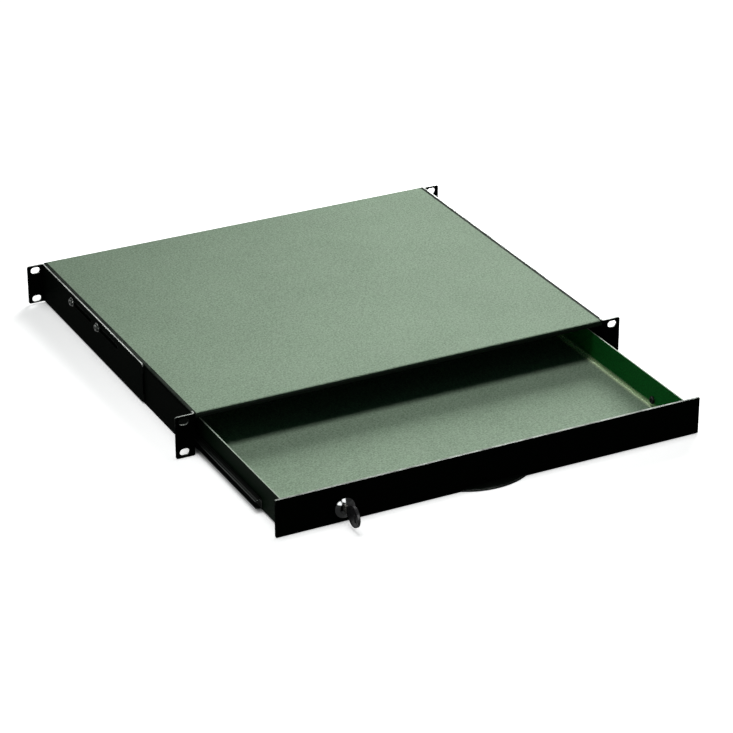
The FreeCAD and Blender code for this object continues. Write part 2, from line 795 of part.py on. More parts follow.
def drawer_tray():
    # Folded pan with four walls. The rear wall has a notch for the keyboard's cable.
    body = new_body("drawer_tray")
    gauge = cell["tray_sheet"]
    floor_top = tray_low + gauge
    hollow_front = panel_back + gauge
    hollow_back = tray_back - gauge
    add_pad(body, "tray_blank", "XY_Plane", tray_low, tray_height,
            rectangle(-half_tray, panel_back, half_tray, tray_back))
    round_edges(body, "tray_bends_outside", cell["tray_bend"] + gauge, {"z": tray_low})
    cut_pocket(body, "tray_inside", "XY_Plane", floor_top, tray_height,
               rectangle(-tray_inside, hollow_front, tray_inside, hollow_back))
    round_edges(body, "tray_bends_inside", cell["tray_bend"], {"z": floor_top})
    half_notch = cell["notch_width"] / 2
    notch_low = tray_top - cell["notch_depth"]
    corner = cell["notch_corner"]
    notch = [(half_notch, tray_top + gauge), (-half_notch, tray_top + gauge), (-half_notch, notch_low + corner,
             corner - half_notch, notch_low + corner, 1), (corner - half_notch, notch_low),
             (half_notch - corner, notch_low, half_notch - corner, notch_low + corner, 1),
             (half_notch, notch_low + corner)]
    cut_pocket(body, "cable_notch", "XZ_Plane", hollow_back - gauge, gauge * 3, notch)
    cut_pocket(body, "slide_holes", "YZ_Plane", 0, None,
               *[screw_hole(inner_front + y, slide_z) for y in slide_screw_places()])
    front_holes = [screw_hole(x, stud_z) for x in stud_places()]
    front_holes.append((lock_x, lock_z, cell["barrel_radius"] + cell["barrel_gap"]))
    cut_pocket(body, "front_holes", "XZ_Plane", panel_back - gauge, gauge * 3, *front_holes)
    return body


def front_panel():
    # Drawer front with a curved finger pull folded forward from its lower edge, and weld studs on its back.
    body = new_body("front_panel")
    add_pad(body, "panel_plate", "XZ_Plane", panel_front, cell["panel_sheet"],
            rectangle(-half_panel, panel_low, half_panel, panel_high),
            (lock_x, lock_z, cell["barrel_radius"] + cell["barrel_gap"]))
    half_chord = cell["pull_chord"] / 2
    reach = cell["pull_reach"]
    sweep = (half_chord * half_chord + reach * reach) / (reach * 2)
    pull_centre = panel_front - reach + sweep
    tongue = [(half_chord, panel_front), (half_chord, panel_back), (-half_chord, panel_back),
              (-half_chord, panel_front, zero, pull_centre, 1)]
    add_pad(body, "finger_pull", "XY_Plane", panel_low, cell["panel_sheet"], tongue)
    round_edges(body, "pull_bend_inside", cell["pull_bend"],
                {"y": panel_front, "z": panel_low + cell["panel_sheet"]})
    round_edges(body, "panel_corners", cell["panel_corner"],
                {"x": -half_panel, "z": panel_low}, {"x": -half_panel, "z": panel_high},
                {"x": half_panel, "z": panel_low}, {"x": half_panel, "z": panel_high})
    stud_length = cell["tray_sheet"] + cell["nut_height"] + cell["panel_sheet"]
    add_pad(body, "weld_studs", "XZ_Plane", panel_back, stud_length,
            *[hexagon(x, stud_z, cell["screw_radius"]) for x in stud_places()])
    return body


def panel_nuts():
    # Nuts on the panel's studs, against the tray's front wall.
    seat_y = panel_back + cell["tray_sheet"]
    return group("panel_nuts", [hexagon_nut(f"panel_nut_{index}", (x, seat_y, stud_z), towards_back)
                                for index, x in enumerate(stud_places())])


def in_lock(body):
    # Lock pieces are modelled with Z along the lock, towards the front, and zero on the panel's front face.
    place(body, lock_x, panel_front, lock_z, towards_front)
    return body


def lock_body():
    # Turned lock housing: a rim with a sloping face on the panel, and a barrel through it, bored for the plug.
    body = new_body("lock_body")
    bore = cell["plug_radius"] + cell["plug_gap"]
    profile = [(bore, -cell["barrel_length"]), (cell["barrel_radius"], -cell["barrel_length"]),
               (cell["barrel_radius"], zero), (cell["rim_radius"], zero),
               (cell["rim_radius"], cell["rim_height"] - cell["rim_fall"]),
               (bore + cell["rim_flat"], cell["rim_height"]), (bore, cell["rim_height"])]
    turned = body.newObject("PartDesign::Revolution", "lock_turning")
    turned.Profile = new_sketch(body, "lock_profile", "XZ_Plane", 0, [profile])
    turned.ReferenceAxis = (turned.Profile[0], ["V_Axis"])
    body.Tip = turned
    doc.recompute()
    return in_lock(body)


def lock_nut():
    # Hexagon ring nut that clamps the panel and the tray's front wall against the rim.
    seat = (lock_x, panel_front + clamped, lock_z)
    blank = prism("lock_nut_blank", 6, cell["lock_nut_radius"], cell["lock_nut_height"], seat, towards_back)
    hole = cylinder("lock_nut_hole", cell["barrel_radius"] + cell["barrel_gap"] / 2, cell["lock_nut_height"],
                    seat, towards_back)
    nut = cut("lock_nut", blank, hole)
    nut.Label = "lock_nut"
    return nut


def lock_plug():
    # Plug that the key turns: a keyway from the front, and a square tail for the cam.
    body = new_body("lock_plug")
    face = cell["rim_height"] - cell["plug_recess"]
    half_tail = cell["tail_width"] / 2
    add_pad(body, "plug_core", "XY_Plane", -plug_back, plug_back + face, (zero, zero, cell["plug_radius"]))
    add_pad(body, "plug_tail", "XY_Plane", -plug_back - cell["cam_sheet"], cell["cam_sheet"],
            rectangle(-half_tail, -half_tail, half_tail, half_tail))
    half_sheet = cell["blade_sheet"] / 2 + cell["keyway_gap"]
    half_width = cell["blade_width"] / 2 + cell["keyway_gap"]
    cut_pocket(body, "keyway", "XY_Plane", -cell["blade_depth"] - cell["keyway_gap"], plug_back + face,
               rectangle(-half_sheet, -half_width, half_sheet, half_width))
    cut_pocket(body, "cam_screw_hole", "XY_Plane", -plug_back - cell["cam_sheet"] * 2, cell["cam_sheet"] * 2,
               screw_hole(zero, zero))
    return in_lock(body)


def lock_cam():
    # Flat cam on the plug's tail. It lies to the right when unlocked and turns up behind the keeper.
    body = new_body("lock_cam")
    half_width = cell["cam_width"] / 2
    half_hole = cell["tail_width"] / 2 + cell["plug_gap"]
    middle = (cam_reach - half_width) / 2
    add_pad(body, "cam_plate", "XY_Plane", -plug_back - cell["cam_sheet"], cell["cam_sheet"],
            slot(middle, zero, cam_reach + half_width, cell["cam_width"]),
            rectangle(-half_hole, -half_hole, half_hole, half_hole))
    return in_lock(body)


def cam_screw():
    # Hexagon-headed screw that keeps the cam on the tail.
    seat_y = panel_front + plug_back + cell["cam_sheet"]
    seat = (lock_x, seat_y, lock_z)
    head = prism("cam_screw_head", 6, cell["cam_screw_radius"], cell["cam_screw_height"], seat, towards_back)
    shank = prism("cam_screw_shank", 6, cell["screw_radius"], cell["cam_sheet"], seat, towards_front)
    screw = fuse("cam_screw", [head, shank])
    screw.Label = "cam_screw"
    return screw


def lock_keeper():
    # Angle under the cover that the cam catches when the drawer is shut and locked.
    body = new_body("lock_keeper")
    gauge = cell["wall_sheet"]
    keeper_front = keeper_back - gauge
    half_width = cell["keeper_width"] / 2
    section = [(keeper_front, keeper_low), (keeper_back, keeper_low),
               (keeper_back, wall_top - gauge), (keeper_back + cell["keeper_seat"], wall_top - gauge),
               (keeper_back + cell["keeper_seat"], wall_top), (keeper_front, wall_top)]
    add_pad(body, "keeper_section", "YZ_Plane", lock_x - half_width, cell["keeper_width"], section)
    round_edges(body, "keeper_bend_outside", cell["bend_radius"] + gauge, {"y": keeper_front, "z": wall_top})
    round_edges(body, "keeper_bend_inside", cell["bend_radius"], {"y": keeper_back, "z": wall_top - gauge})
    return body


def key_blade():
    # Flat blade with notches along its lower edge. Its root is held in the bow.
    body = new_body("key_blade")
    half_width = cell["blade_width"] / 2
    tip = -cell["blade_depth"]
    root_end = cell["collar_reach"] + cell["blade_seat"]
    outline = [(half_width, root_end), (-half_width, root_end)]
    for index in reversed(range(bitting_count)):
        start = tip + half_width / 2 + cell["bitting_pitch"] * index
        outline.append((-half_width, start + cell["bitting_pitch"]))
        outline.append((cell["bitting_depth"] - half_width, start + cell["bitting_pitch"] / 2))
    outline += [(-half_width, tip + half_width / 2), (-half_width / 2, tip), (half_width / 2, tip),
                (half_width, tip + half_width / 2)]
    add_pad(body, "blade_plate", "YZ_Plane", -cell["blade_sheet"] / 2, cell["blade_sheet"], outline)
    return in_lock(body)


def key_bow():
    # Moulded round bow on a collar, with an upright hole for a ring.
    body = new_body("key_bow")
    half_sheet = cell["bow_sheet"] / 2
    half_collar = cell["collar_width"] / 2
    bow_radius = cell["bow_radius"]
    shoulder = cell["bow_reach"] - root(bow_radius * bow_radius - half_collar * half_collar)
    outline = [(-half_collar, cell["collar_reach"]), (half_collar, cell["collar_reach"]),
               (half_collar, shoulder, zero, cell["bow_reach"], 1), (-half_collar, shoulder)]
    add_pad(body, "bow_plate", "YZ_Plane", -half_sheet, cell["bow_sheet"], outline)
    bevel_edges(body, "bow_bevels", cell["bow_bevel"], {"x": -half_sheet}, {"x": half_sheet})
    half_blade = cell["blade_sheet"] / 2 + cell["plug_gap"]
    half_width = cell["blade_width"] / 2 + cell["plug_gap"]
    cut_pocket(body, "blade_seat", "XY_Plane", cell["collar_reach"] - half_sheet,
               cell["blade_seat"] + half_sheet,
               rectangle(-half_blade, -half_width, half_blade, half_width))
    cut_pocket(body, "ring_hole", "YZ_Plane", 0, None,
               slot(zero, cell["bow_reach"] + cell["ring_hole_offset"],
                    cell["ring_hole_length"], cell["ring_hole_width"]))
    return in_lock(body)


left_wall = side_wall()
left_bracket = rear_bracket()
left_outer = slide_outer()
left_inner = slide_inner()
left_cage = ball_cage()
sub_parts = [
    top_cover(), left_wall, mirrored(left_wall, "side_wall_right"), rear_panel(), lock_keeper(),
    left_bracket, mirrored(left_bracket, "rear_bracket_right"), bracket_screws(), bracket_nuts(),
    left_outer, mirrored(left_outer, "slide_outer_right"), slide_buffers(),
    left_inner, mirrored(left_inner, "slide_inner_right"), slide_tray_screws(),
    left_cage, mirrored(left_cage, "ball_cage_right"), slide_balls(),
    drawer_tray(), front_panel(), panel_nuts(),
    lock_body(), lock_nut(), lock_plug(), lock_cam(), cam_screw(), key_blade(), key_bow(),
]
doc.recompute()

for item in doc.Objects:
    if "Invalid" in item.State or "Error" in item.State:
        raise RuntimeError(f"{item.Label} is {item.State}")
for item in sub_parts:
    if item.Shape.isNull() or not item.Shape.isValid():
        raise RuntimeError(f"{item.Label} has no valid shape")

os.makedirs("parts", exist_ok=True)
for item in sub_parts:
    item.Shape.exportStep(f"parts/{item.Label}.step")
    print(item.Label, len(item.Shape.Solids), "solids", round(item.Shape.Volume, 1), "mm3")
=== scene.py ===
import json
from math import cos, pi, radians, sin, tan

import bmesh
import bpy
from mathutils import Matrix, Quaternion, Vector


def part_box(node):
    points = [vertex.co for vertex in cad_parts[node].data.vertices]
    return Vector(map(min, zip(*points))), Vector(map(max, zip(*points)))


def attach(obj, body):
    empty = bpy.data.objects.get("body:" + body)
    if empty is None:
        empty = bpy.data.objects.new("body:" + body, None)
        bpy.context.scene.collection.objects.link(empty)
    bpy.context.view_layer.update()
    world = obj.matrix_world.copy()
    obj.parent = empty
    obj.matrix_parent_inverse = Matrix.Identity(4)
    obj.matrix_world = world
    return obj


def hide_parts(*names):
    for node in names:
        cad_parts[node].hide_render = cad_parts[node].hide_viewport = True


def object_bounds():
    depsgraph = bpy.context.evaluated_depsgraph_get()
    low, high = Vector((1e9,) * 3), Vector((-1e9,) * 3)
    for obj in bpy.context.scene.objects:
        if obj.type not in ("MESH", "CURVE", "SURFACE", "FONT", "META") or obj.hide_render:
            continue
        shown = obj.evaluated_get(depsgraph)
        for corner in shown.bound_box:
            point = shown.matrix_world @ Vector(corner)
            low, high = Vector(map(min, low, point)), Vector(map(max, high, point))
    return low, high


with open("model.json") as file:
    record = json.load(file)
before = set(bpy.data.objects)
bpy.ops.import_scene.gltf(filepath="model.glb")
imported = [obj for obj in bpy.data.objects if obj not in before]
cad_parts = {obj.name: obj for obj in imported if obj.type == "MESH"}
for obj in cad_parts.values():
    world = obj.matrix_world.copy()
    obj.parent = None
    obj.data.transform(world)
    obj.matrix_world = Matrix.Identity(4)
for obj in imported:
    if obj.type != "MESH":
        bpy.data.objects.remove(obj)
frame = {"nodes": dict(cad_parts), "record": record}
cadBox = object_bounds()
nodes = frame["nodes"]
scene = bpy.context.scene
mm = 0.001  # pieces below are written in millimetres


# the view of the photograph
photoView = {
    "target": (0.0341, 0.1485, -0.0527),
    "azimuth": -26.83,
    "elevation": 26.28,
    "roll": -0.14,
    "distance": 2.9411,
    "lens": 141.51,
    "sensor": 36.0,
}


def placeCamera(look):
    azimuth = radians(look["azimuth"])
    elevation = radians(look["elevation"])
    back = Vector((sin(azimuth) * cos(elevation), -cos(azimuth) * cos(elevation), sin(elevation)))
    camera = bpy.data.objects.new("photoCamera", bpy.data.cameras.new("photoCamera"))
    camera.data.lens = look["lens"]
    camera.data.sensor_width = look["sensor"]
    camera.location = Vector(look["target"]) + back * look["distance"]
    camera.rotation_mode = "QUATERNION"
    tilt = Quaternion((0, 0, 1), radians(look["roll"]))
    camera.rotation_quaternion = (-back).to_track_quat("-Z", "Y") @ tilt
    scene.collection.objects.link(camera)
    scene.camera = camera


placeCamera(photoView)
scene.view_settings.view_transform = "Standard"
print("camera placed")


# a node with its settings, and its sockets set to a value or joined to another socket
def addNode(tree, kind, sockets=None, **settings):
    node = tree.nodes.new("ShaderNode" + kind)
    for name, value in settings.items():
        setattr(node, name, value)
    for name, value in (sockets or {}).items():
        if isinstance(value, bpy.types.NodeSocket):
            tree.links.new(value, node.inputs[name])
        else:
            node.inputs[name].default_value = value
    return node


def maths(tree, operation, first, second=0.0, clamp=False):
    return addNode(tree, "Math", {0: first, 1: second}, operation=operation, use_clamp=clamp).outputs[0]


def mixColour(tree, mask, under, over):
    mix = addNode(tree, "Mix", data_type="RGBA")  # sockets 6 and 7 are its two colours
    for index, value in ((0, mask), (6, under), (7, over)):
        if isinstance(value, bpy.types.NodeSocket):
            tree.links.new(value, mix.inputs[index])
        else:
            mix.inputs[index].default_value = value
    return mix.outputs[2]


def rgba(colour):
    return (*colour, 1.0)


# rays that should see the white studio: from the camera, from metal and through glass
def seenRays(tree):
    path = addNode(tree, "LightPath").outputs
    seen = maths(tree, "MAXIMUM", path["Is Camera Ray"], path["Is Glossy Ray"])
    return maths(tree, "MAXIMUM", seen, path["Is Transmission Ray"])


studioFloor = {
    "reach": 8.0,
    "gap": 0.15 * mm,
    "paint": (0.9, 0.9, 0.9),
    "bouncePaint": (0.04, 0.042, 0.04),
    "glowNear": 0.66,
    "glowFar": 1.0,
    "glowStart": 0.0,
    "glowEnd": 0.08,
    "coverHeight": 0.06,
    "coveredSky": 0.1,
    "openSky": 0.45,
}


def layFloor(look):
    low, high = cadBox
    half = look["reach"] / 2
    corners = [(-half, -half, 0), (half, -half, 0), (half, half, 0), (-half, half, 0)]
    mesh = bpy.data.meshes.new("studioFloor")
    mesh.from_pydata(corners, [], [(0, 1, 2, 3)])
    floor = bpy.data.objects.new("studioFloor", mesh)
    middle = (low + high) / 2
    floor.location = (middle.x, middle.y, low.z - look["gap"])
    scene.collection.objects.link(floor)

    material = bpy.data.materials.new("studioFloorPaint")
    material.use_nodes = True
    tree = material.node_tree
    tree.nodes.clear()
    # the floor glows to white away from the object, so only the shadow beside it is left
    spot = addNode(tree, "TexCoord").outputs["Object"]
    outside = addNode(tree, "VectorMath", {0: spot}, operation="ABSOLUTE").outputs[0]
    size = (high.x - middle.x, high.y - middle.y, 0.0)
    outside = addNode(tree, "VectorMath", {0: outside, 1: size}, operation="SUBTRACT").outputs[0]
    outside = addNode(tree, "VectorMath", {0: outside, 1: (0, 0, 0)}, operation="MAXIMUM").outputs[0]
    away = addNode(tree, "VectorMath", {0: outside}, operation="LENGTH").outputs["Value"]
    glow = addNode(tree, "MapRange", {
        "Value": away, "From Min": look["glowStart"], "From Max": look["glowEnd"],
        "To Min": look["glowNear"], "To Max": look["glowFar"]}, interpolation_type="SMOOTHSTEP").outputs[0]
    sky = addNode(tree, "AmbientOcclusion", {"Distance": look["coverHeight"]}, samples=8).outputs["AO"]
    uncovered = addNode(tree, "MapRange", {
        "Value": sky, "From Min": look["coveredSky"], "From Max": look["openSky"]}).outputs[0]
    glow = maths(tree, "MULTIPLY", glow, uncovered)  # no glow on the floor under the case
    bounce = addNode(tree, "BsdfDiffuse", {"Color": rgba(look["bouncePaint"])}).outputs[0]
    paint = addNode(tree, "BsdfDiffuse", {"Color": rgba(look["paint"])}).outputs[0]
    shine = addNode(tree, "Emission", {"Color": rgba((1, 1, 1)), "Strength": glow}).outputs[0]
    white = addNode(tree, "AddShader", {0: paint, 1: shine}).outputs[0]
    seen = addNode(tree, "MixShader", {0: seenRays(tree), 1: bounce, 2: white}).outputs[0]
    addNode(tree, "OutputMaterial", {"Surface": seen})
    mesh.materials.append(material)


studioWorld = {"fillColour": (0.5, 1.0, 0.85), "fillStrength": 0.03}


def lightWorld(look):
    world = bpy.data.worlds.new("studioWorld")
    world.use_nodes = True
    scene.world = world
    tree = world.node_tree
    tree.nodes.clear()
    fill = addNode(tree, "Background", {"Color": rgba(look["fillColour"]), "Strength": look["fillStrength"]})
    white = addNode(tree, "Background", {"Color": rgba((1, 1, 1)), "Strength": 1.0})
    sky = addNode(tree, "MixShader", {0: seenRays(tree), 1: fill.outputs[0], 2: white.outputs[0]})
    addNode(tree, "OutputWorld", {"Surface": sky.outputs[0]})


# soft boxes: one behind the right rear corner and one above the drawer light the paint;
# the others only shine, two on the lock's rim and one on the left bracket's screws
studioLamps = {
    "rightRear": {
        "place": (0.95, 1.15, 0.85), "aim": (0.25, 0.15, 0.0), "size": (0.90, 0.90), "spread": 90,
        "power": 9.0},
    "aboveDrawer": {
        "place": (-0.12, -0.06, 1.30), "aim": (-0.06, -0.14, 0.0), "size": (0.70, 0.40), "spread": 56,
        "power": 0.91},
    "lockGlintLeft": {
        "place": (-0.38, -1.34, 0.10), "aim": (-0.15, -0.19, -0.06), "size": (0.42, 0.46), "spread": 60,
        "power": 4.0, "onlyShine": True},
    "lockGlintRight": {
        "place": (0.14, -1.27, 0.37), "aim": (-0.15, -0.19, -0.06), "size": (0.42, 0.46), "spread": 60,
        "power": 4.0, "onlyShine": True},
    "screwGlint": {
        "place": (-1.25, 0.85, 0.30), "aim": (-0.225, 0.27, 0.012), "size": (0.30, 0.30), "spread": 16,
        "power": 0.4, "onlyShine": True},
}


def hangLamps(lamps):
    for name, look in lamps.items():
        lamp = bpy.data.lights.new(name, "AREA")
        lamp.shape = "RECTANGLE"
        lamp.size, lamp.size_y = look["size"]
        lamp.energy = look["power"]
        lamp.spread = radians(look["spread"])
        lampObject = bpy.data.objects.new(name, lamp)
        lampObject.location = look["place"]
        lampObject.visible_diffuse = not look.get("onlyShine", False)
        back = (Vector(look["place"]) - Vector(look["aim"])).normalized()
        right = (Vector((1, 0, 0)) - back * back.x).normalized()  # the box stays level along X
        lampObject.rotation_euler = Matrix((right, back.cross(right), back)).transposed().to_euler()
        scene.collection.objects.link(lampObject)


layFloor(studioFloor)
lightWorld(studioWorld)
hangLamps(studioLamps)
print("studio lit by", len(studioLamps), "soft boxes")


# node groups are started with their sockets, and wired by the functions below
def startGroup(name, inputs, outputs):
    group = bpy.data.node_groups.new(name, "ShaderNodeTree")
    for label, (kind, value) in inputs.items():
        socket = group.interface.new_socket(label, in_out="INPUT", socket_type="NodeSocket" + kind)
        socket.default_value = value
    for label, kind in outputs.items():
        group.interface.new_socket(label, in_out="OUTPUT", socket_type="NodeSocket" + kind)
    return group, group.nodes.new("NodeGroupInput").outputs, group.nodes.new("NodeGroupOutput").inputs


# noise shared by the finishes; a noise swings about its middle
pebbleNoise = {"Detail": 3.0, "Roughness": 0.6}
cloudNoise = {"Detail": 2.0, "Roughness": 0.5}
noiseMiddle = 0.5
mottleDensity = 11.0
plateCloudDensity = 130.0


# fine pebbled paint: speckle and broad mottle in the colour, pebbles in the roughness and height
def makeCoatGrain():
    group, given, made = startGroup("coatGrain", {
        "Color": ("Color", rgba((0.2, 0.2, 0.2))), "Grain Size": ("Float", 0.001), "Speckle": ("Float", 0.3),
        "Mottle": ("Float", 0.1), "Roughness": ("Float", 0.5), "Roughness Spread": ("Float", 0.2),
    }, {"Color": "Color", "Roughness": "Float", "Height": "Float"})
    spot = addNode(group, "TexCoord").outputs["Object"]
    density = maths(group, "DIVIDE", 1.0, given["Grain Size"])
    pebble = addNode(group, "TexNoise", {"Vector": spot, "Scale": density, **pebbleNoise})
    cloud = addNode(group, "TexNoise", {"Vector": spot, "Scale": mottleDensity, **cloudNoise})
    pebbleShift = maths(group, "SUBTRACT", pebble.outputs[0], noiseMiddle)
    cloudShift = maths(group, "SUBTRACT", cloud.outputs[0], noiseMiddle)
    speckle = maths(group, "MULTIPLY", pebbleShift, given["Speckle"])
    mottle = maths(group, "MULTIPLY", cloudShift, given["Mottle"])
    shade = maths(group, "ADD", maths(group, "ADD", speckle, mottle), 1.0)
    toned = addNode(group, "VectorMath", {0: given["Color"], "Scale": shade}, operation="SCALE")
    spread = maths(group, "MULTIPLY", pebbleShift, given["Roughness Spread"])
    group.links.new(toned.outputs[0], made["Color"])
    group.links.new(maths(group, "ADD", given["Roughness"], spread), made["Roughness"])
    group.links.new(pebble.outputs[0], made["Height"])
    return group


# paint with painted light and shade by facing: pale on faces that look up, painted shade on upright faces,
# undersides and the outer side folds, and a painted highlight as a pale line in the inner folds
facingShadeLimits = {"outward": 0.001, "upright": 0.65, "upward": 0.92, "openFold": 0.95, "tightFold": 0.7}


def makePaintedFacingShade():
    group, given, made = startGroup("paintedFacingShade", {
        "Top Color": ("Color", rgba((0.2, 0.2, 0.2))), "Inner Shade Color": ("Color", rgba((0.02, 0.04, 0.02))),
        "Outer Shade Color": ("Color", rgba((0.01, 0.02, 0.01))), "Fold Highlight Color": ("Color", rgba((0.2, 0.2, 0.2))),
        "Half Width": ("Float", 1.0), "Shaded Side Fold": ("Float", 0.0), "Fold Highlight Reach": ("Float", 0.003),
    }, {"Color": "Color"})
    facing = addNode(group, "SeparateXYZ", {0: addNode(group, "NewGeometry").outputs["Normal"]}).outputs
    spot = addNode(group, "SeparateXYZ", {0: addNode(group, "TexCoord").outputs["Object"]}).outputs
    # painted shade on upright faces, deeper on those turned outward
    sideways = maths(group, "MULTIPLY", facing["X"], spot["X"])
    outward = maths(group, "GREATER_THAN", sideways, facingShadeLimits["outward"])
    upright = mixColour(group, outward, given["Inner Shade Color"], given["Outer Shade Color"])
    upward = addNode(group, "MapRange", {
        "Value": facing["Z"], "From Min": facingShadeLimits["upright"], "From Max": facingShadeLimits["upward"],
    }, interpolation_type="SMOOTHSTEP").outputs[0]
    foldStart = maths(group, "SUBTRACT", given["Half Width"], given["Shaded Side Fold"])
    flat = maths(group, "LESS_THAN", maths(group, "ABSOLUTE", spot["X"]), foldStart)
    tone = mixColour(group, maths(group, "MULTIPLY", upward, flat), upright, given["Top Color"])
    # painted highlight: a pale line in the inner folds, where a wall stands close
    room = addNode(group, "AmbientOcclusion", {"Distance": given["Fold Highlight Reach"]}, samples=6,
                   only_local=True).outputs["AO"]
    inner = addNode(group, "MapRange", {
        "Value": room, "From Min": facingShadeLimits["openFold"], "From Max": facingShadeLimits["tightFold"],
        "To Min": 0.0, "To Max": 1.0}).outputs[0]
    group.links.new(mixColour(group, inner, tone, given["Fold Highlight Color"]), made["Color"])
    return group


# cut edges of sheet metal, where the metal under the surface is thin: partly wear, partly painted highlight
edgeLimits = {
    "sheetShare": 0.92, "thick": 0.88, "thin": 0.66, "side": 0.3, "upward": 0.9, "patchLow": 0.3,
    "patchHigh": 0.55, "patchLeast": 0.6}


def makeWearAndHighlightEdge():
    group, given, made = startGroup("wearAndHighlightEdge", {
        "Sheet": ("Float", 0.0012), "Round": ("Float", 0.0003), "Amount": ("Float", 0.8),
        "Side Share": ("Float", 0.15), "Unmarked Middle Height": ("Float", 0.0), "Patch Size": ("Float", 0.01),
    }, {"Mask": "Float", "Normal": "Vector"})
    depth = maths(group, "MULTIPLY", given["Sheet"], edgeLimits["sheetShare"])
    room = addNode(group, "AmbientOcclusion", {"Distance": depth}, samples=10, inside=True, only_local=True)
    thin = addNode(group, "MapRange", {
        "Value": room.outputs["AO"], "From Min": edgeLimits["thick"], "From Max": edgeLimits["thin"],
        "To Min": 0.0, "To Max": 1.0})
    # painted highlight: edges that face up, where light falls from above, take the full mark, side edges only
    # a share
    rise = addNode(group, "SeparateXYZ", {0: addNode(group, "NewGeometry").outputs["Normal"]}).outputs["Z"]
    upper = addNode(group, "MapRange", {
        "Value": rise, "From Min": edgeLimits["side"], "From Max": edgeLimits["upward"],
        "To Min": given["Side Share"], "To Max": 1.0})
    spot = addNode(group, "TexCoord").outputs["Object"]
    height = maths(group, "ABSOLUTE", addNode(group, "SeparateXYZ", {0: spot}).outputs["Z"])
    outsideMiddleBand = maths(group, "GREATER_THAN", height, given["Unmarked Middle Height"])  # edge marks only towards the top and bottom rims, none on the slots at mid height
    density = maths(group, "DIVIDE", 1.0, given["Patch Size"])
    patch = addNode(group, "TexNoise", {"Vector": spot, "Scale": density, **pebbleNoise})
    broken = addNode(group, "MapRange", {
        "Value": patch.outputs[0], "From Min": edgeLimits["patchLow"], "From Max": edgeLimits["patchHigh"],
        "To Min": edgeLimits["patchLeast"], "To Max": 1.0})
    patchyLitEdge = maths(group, "MULTIPLY", broken.outputs[0], upper.outputs[0])
    edgeMarked = maths(group, "MULTIPLY", maths(group, "MULTIPLY", thin.outputs[0], patchyLitEdge), outsideMiddleBand)
    rounded = addNode(group, "Bevel", {"Radius": given["Round"]}, samples=4).outputs[0]
    group.links.new(maths(group, "MULTIPLY", edgeMarked, given["Amount"]), made["Mask"])
    group.links.new(rounded, made["Normal"])
    return group


# bright metal on the edges of small pieces, from how far a rounded edge turns the surface
wearLimits = {"gain": 4.5, "patchLow": 0.3, "patchHigh": 0.55, "patchLeast": 0.45}


def makeEdgeWear():
    group, given, made = startGroup("edgeWear", {
        "Width": ("Float", 0.0006), "Amount": ("Float", 0.8), "Patch Size": ("Float", 0.01),
    }, {"Mask": "Float", "Normal": "Vector"})
    rounded = addNode(group, "Bevel", {"Radius": given["Width"]}, samples=6).outputs[0]
    flat = addNode(group, "NewGeometry").outputs["Normal"]
    agree = addNode(group, "VectorMath", {0: rounded, 1: flat}, operation="DOT_PRODUCT").outputs["Value"]
    turned = maths(group, "MULTIPLY", maths(group, "SUBTRACT", 1.0, agree), wearLimits["gain"], clamp=True)
    spot = addNode(group, "TexCoord").outputs["Object"]
    density = maths(group, "DIVIDE", 1.0, given["Patch Size"])
    patch = addNode(group, "TexNoise", {"Vector": spot, "Scale": density, **pebbleNoise})
    broken = addNode(group, "MapRange", {
        "Value": patch.outputs[0], "From Min": wearLimits["patchLow"], "From Max": wearLimits["patchHigh"],
        "To Min": wearLimits["patchLeast"], "To Max": 1.0})
    edgeMarked = maths(group, "MULTIPLY", turned, broken.outputs[0])
    group.links.new(maths(group, "MULTIPLY", edgeMarked, given["Amount"]), made["Mask"])
    group.links.new(rounded, made["Normal"])
    return group


# pale film on surfaces that face up
dustLimits = {"tilted": 0.6, "level": 1.0, "patchLow": 0.35, "patchHigh": 0.75}
driftNoise = {"Scale": 38.0, "Detail": 5.0, "Roughness": 0.7}


def makeSettledDust():
    group, given, made = startGroup("settledDust", {"Amount": ("Float", 0.05)}, {"Mask": "Float"})
    facing = addNode(group, "NewGeometry").outputs["Normal"]
    rise = addNode(group, "SeparateXYZ", {0: facing}).outputs["Z"]
    upward = addNode(group, "MapRange", {
        "Value": rise, "From Min": dustLimits["tilted"], "From Max": dustLimits["level"]}).outputs[0]
    spot = addNode(group, "TexCoord").outputs["Object"]
    drift = addNode(group, "TexNoise", {"Vector": spot, **driftNoise})
    patch = addNode(group, "MapRange", {
        "Value": drift.outputs[0], "From Min": dustLimits["patchLow"], "From Max": dustLimits["patchHigh"]})
    film = maths(group, "MULTIPLY", upward, patch.outputs[0])
    group.links.new(maths(group, "MULTIPLY", film, given["Amount"]), made["Mask"])
    return group


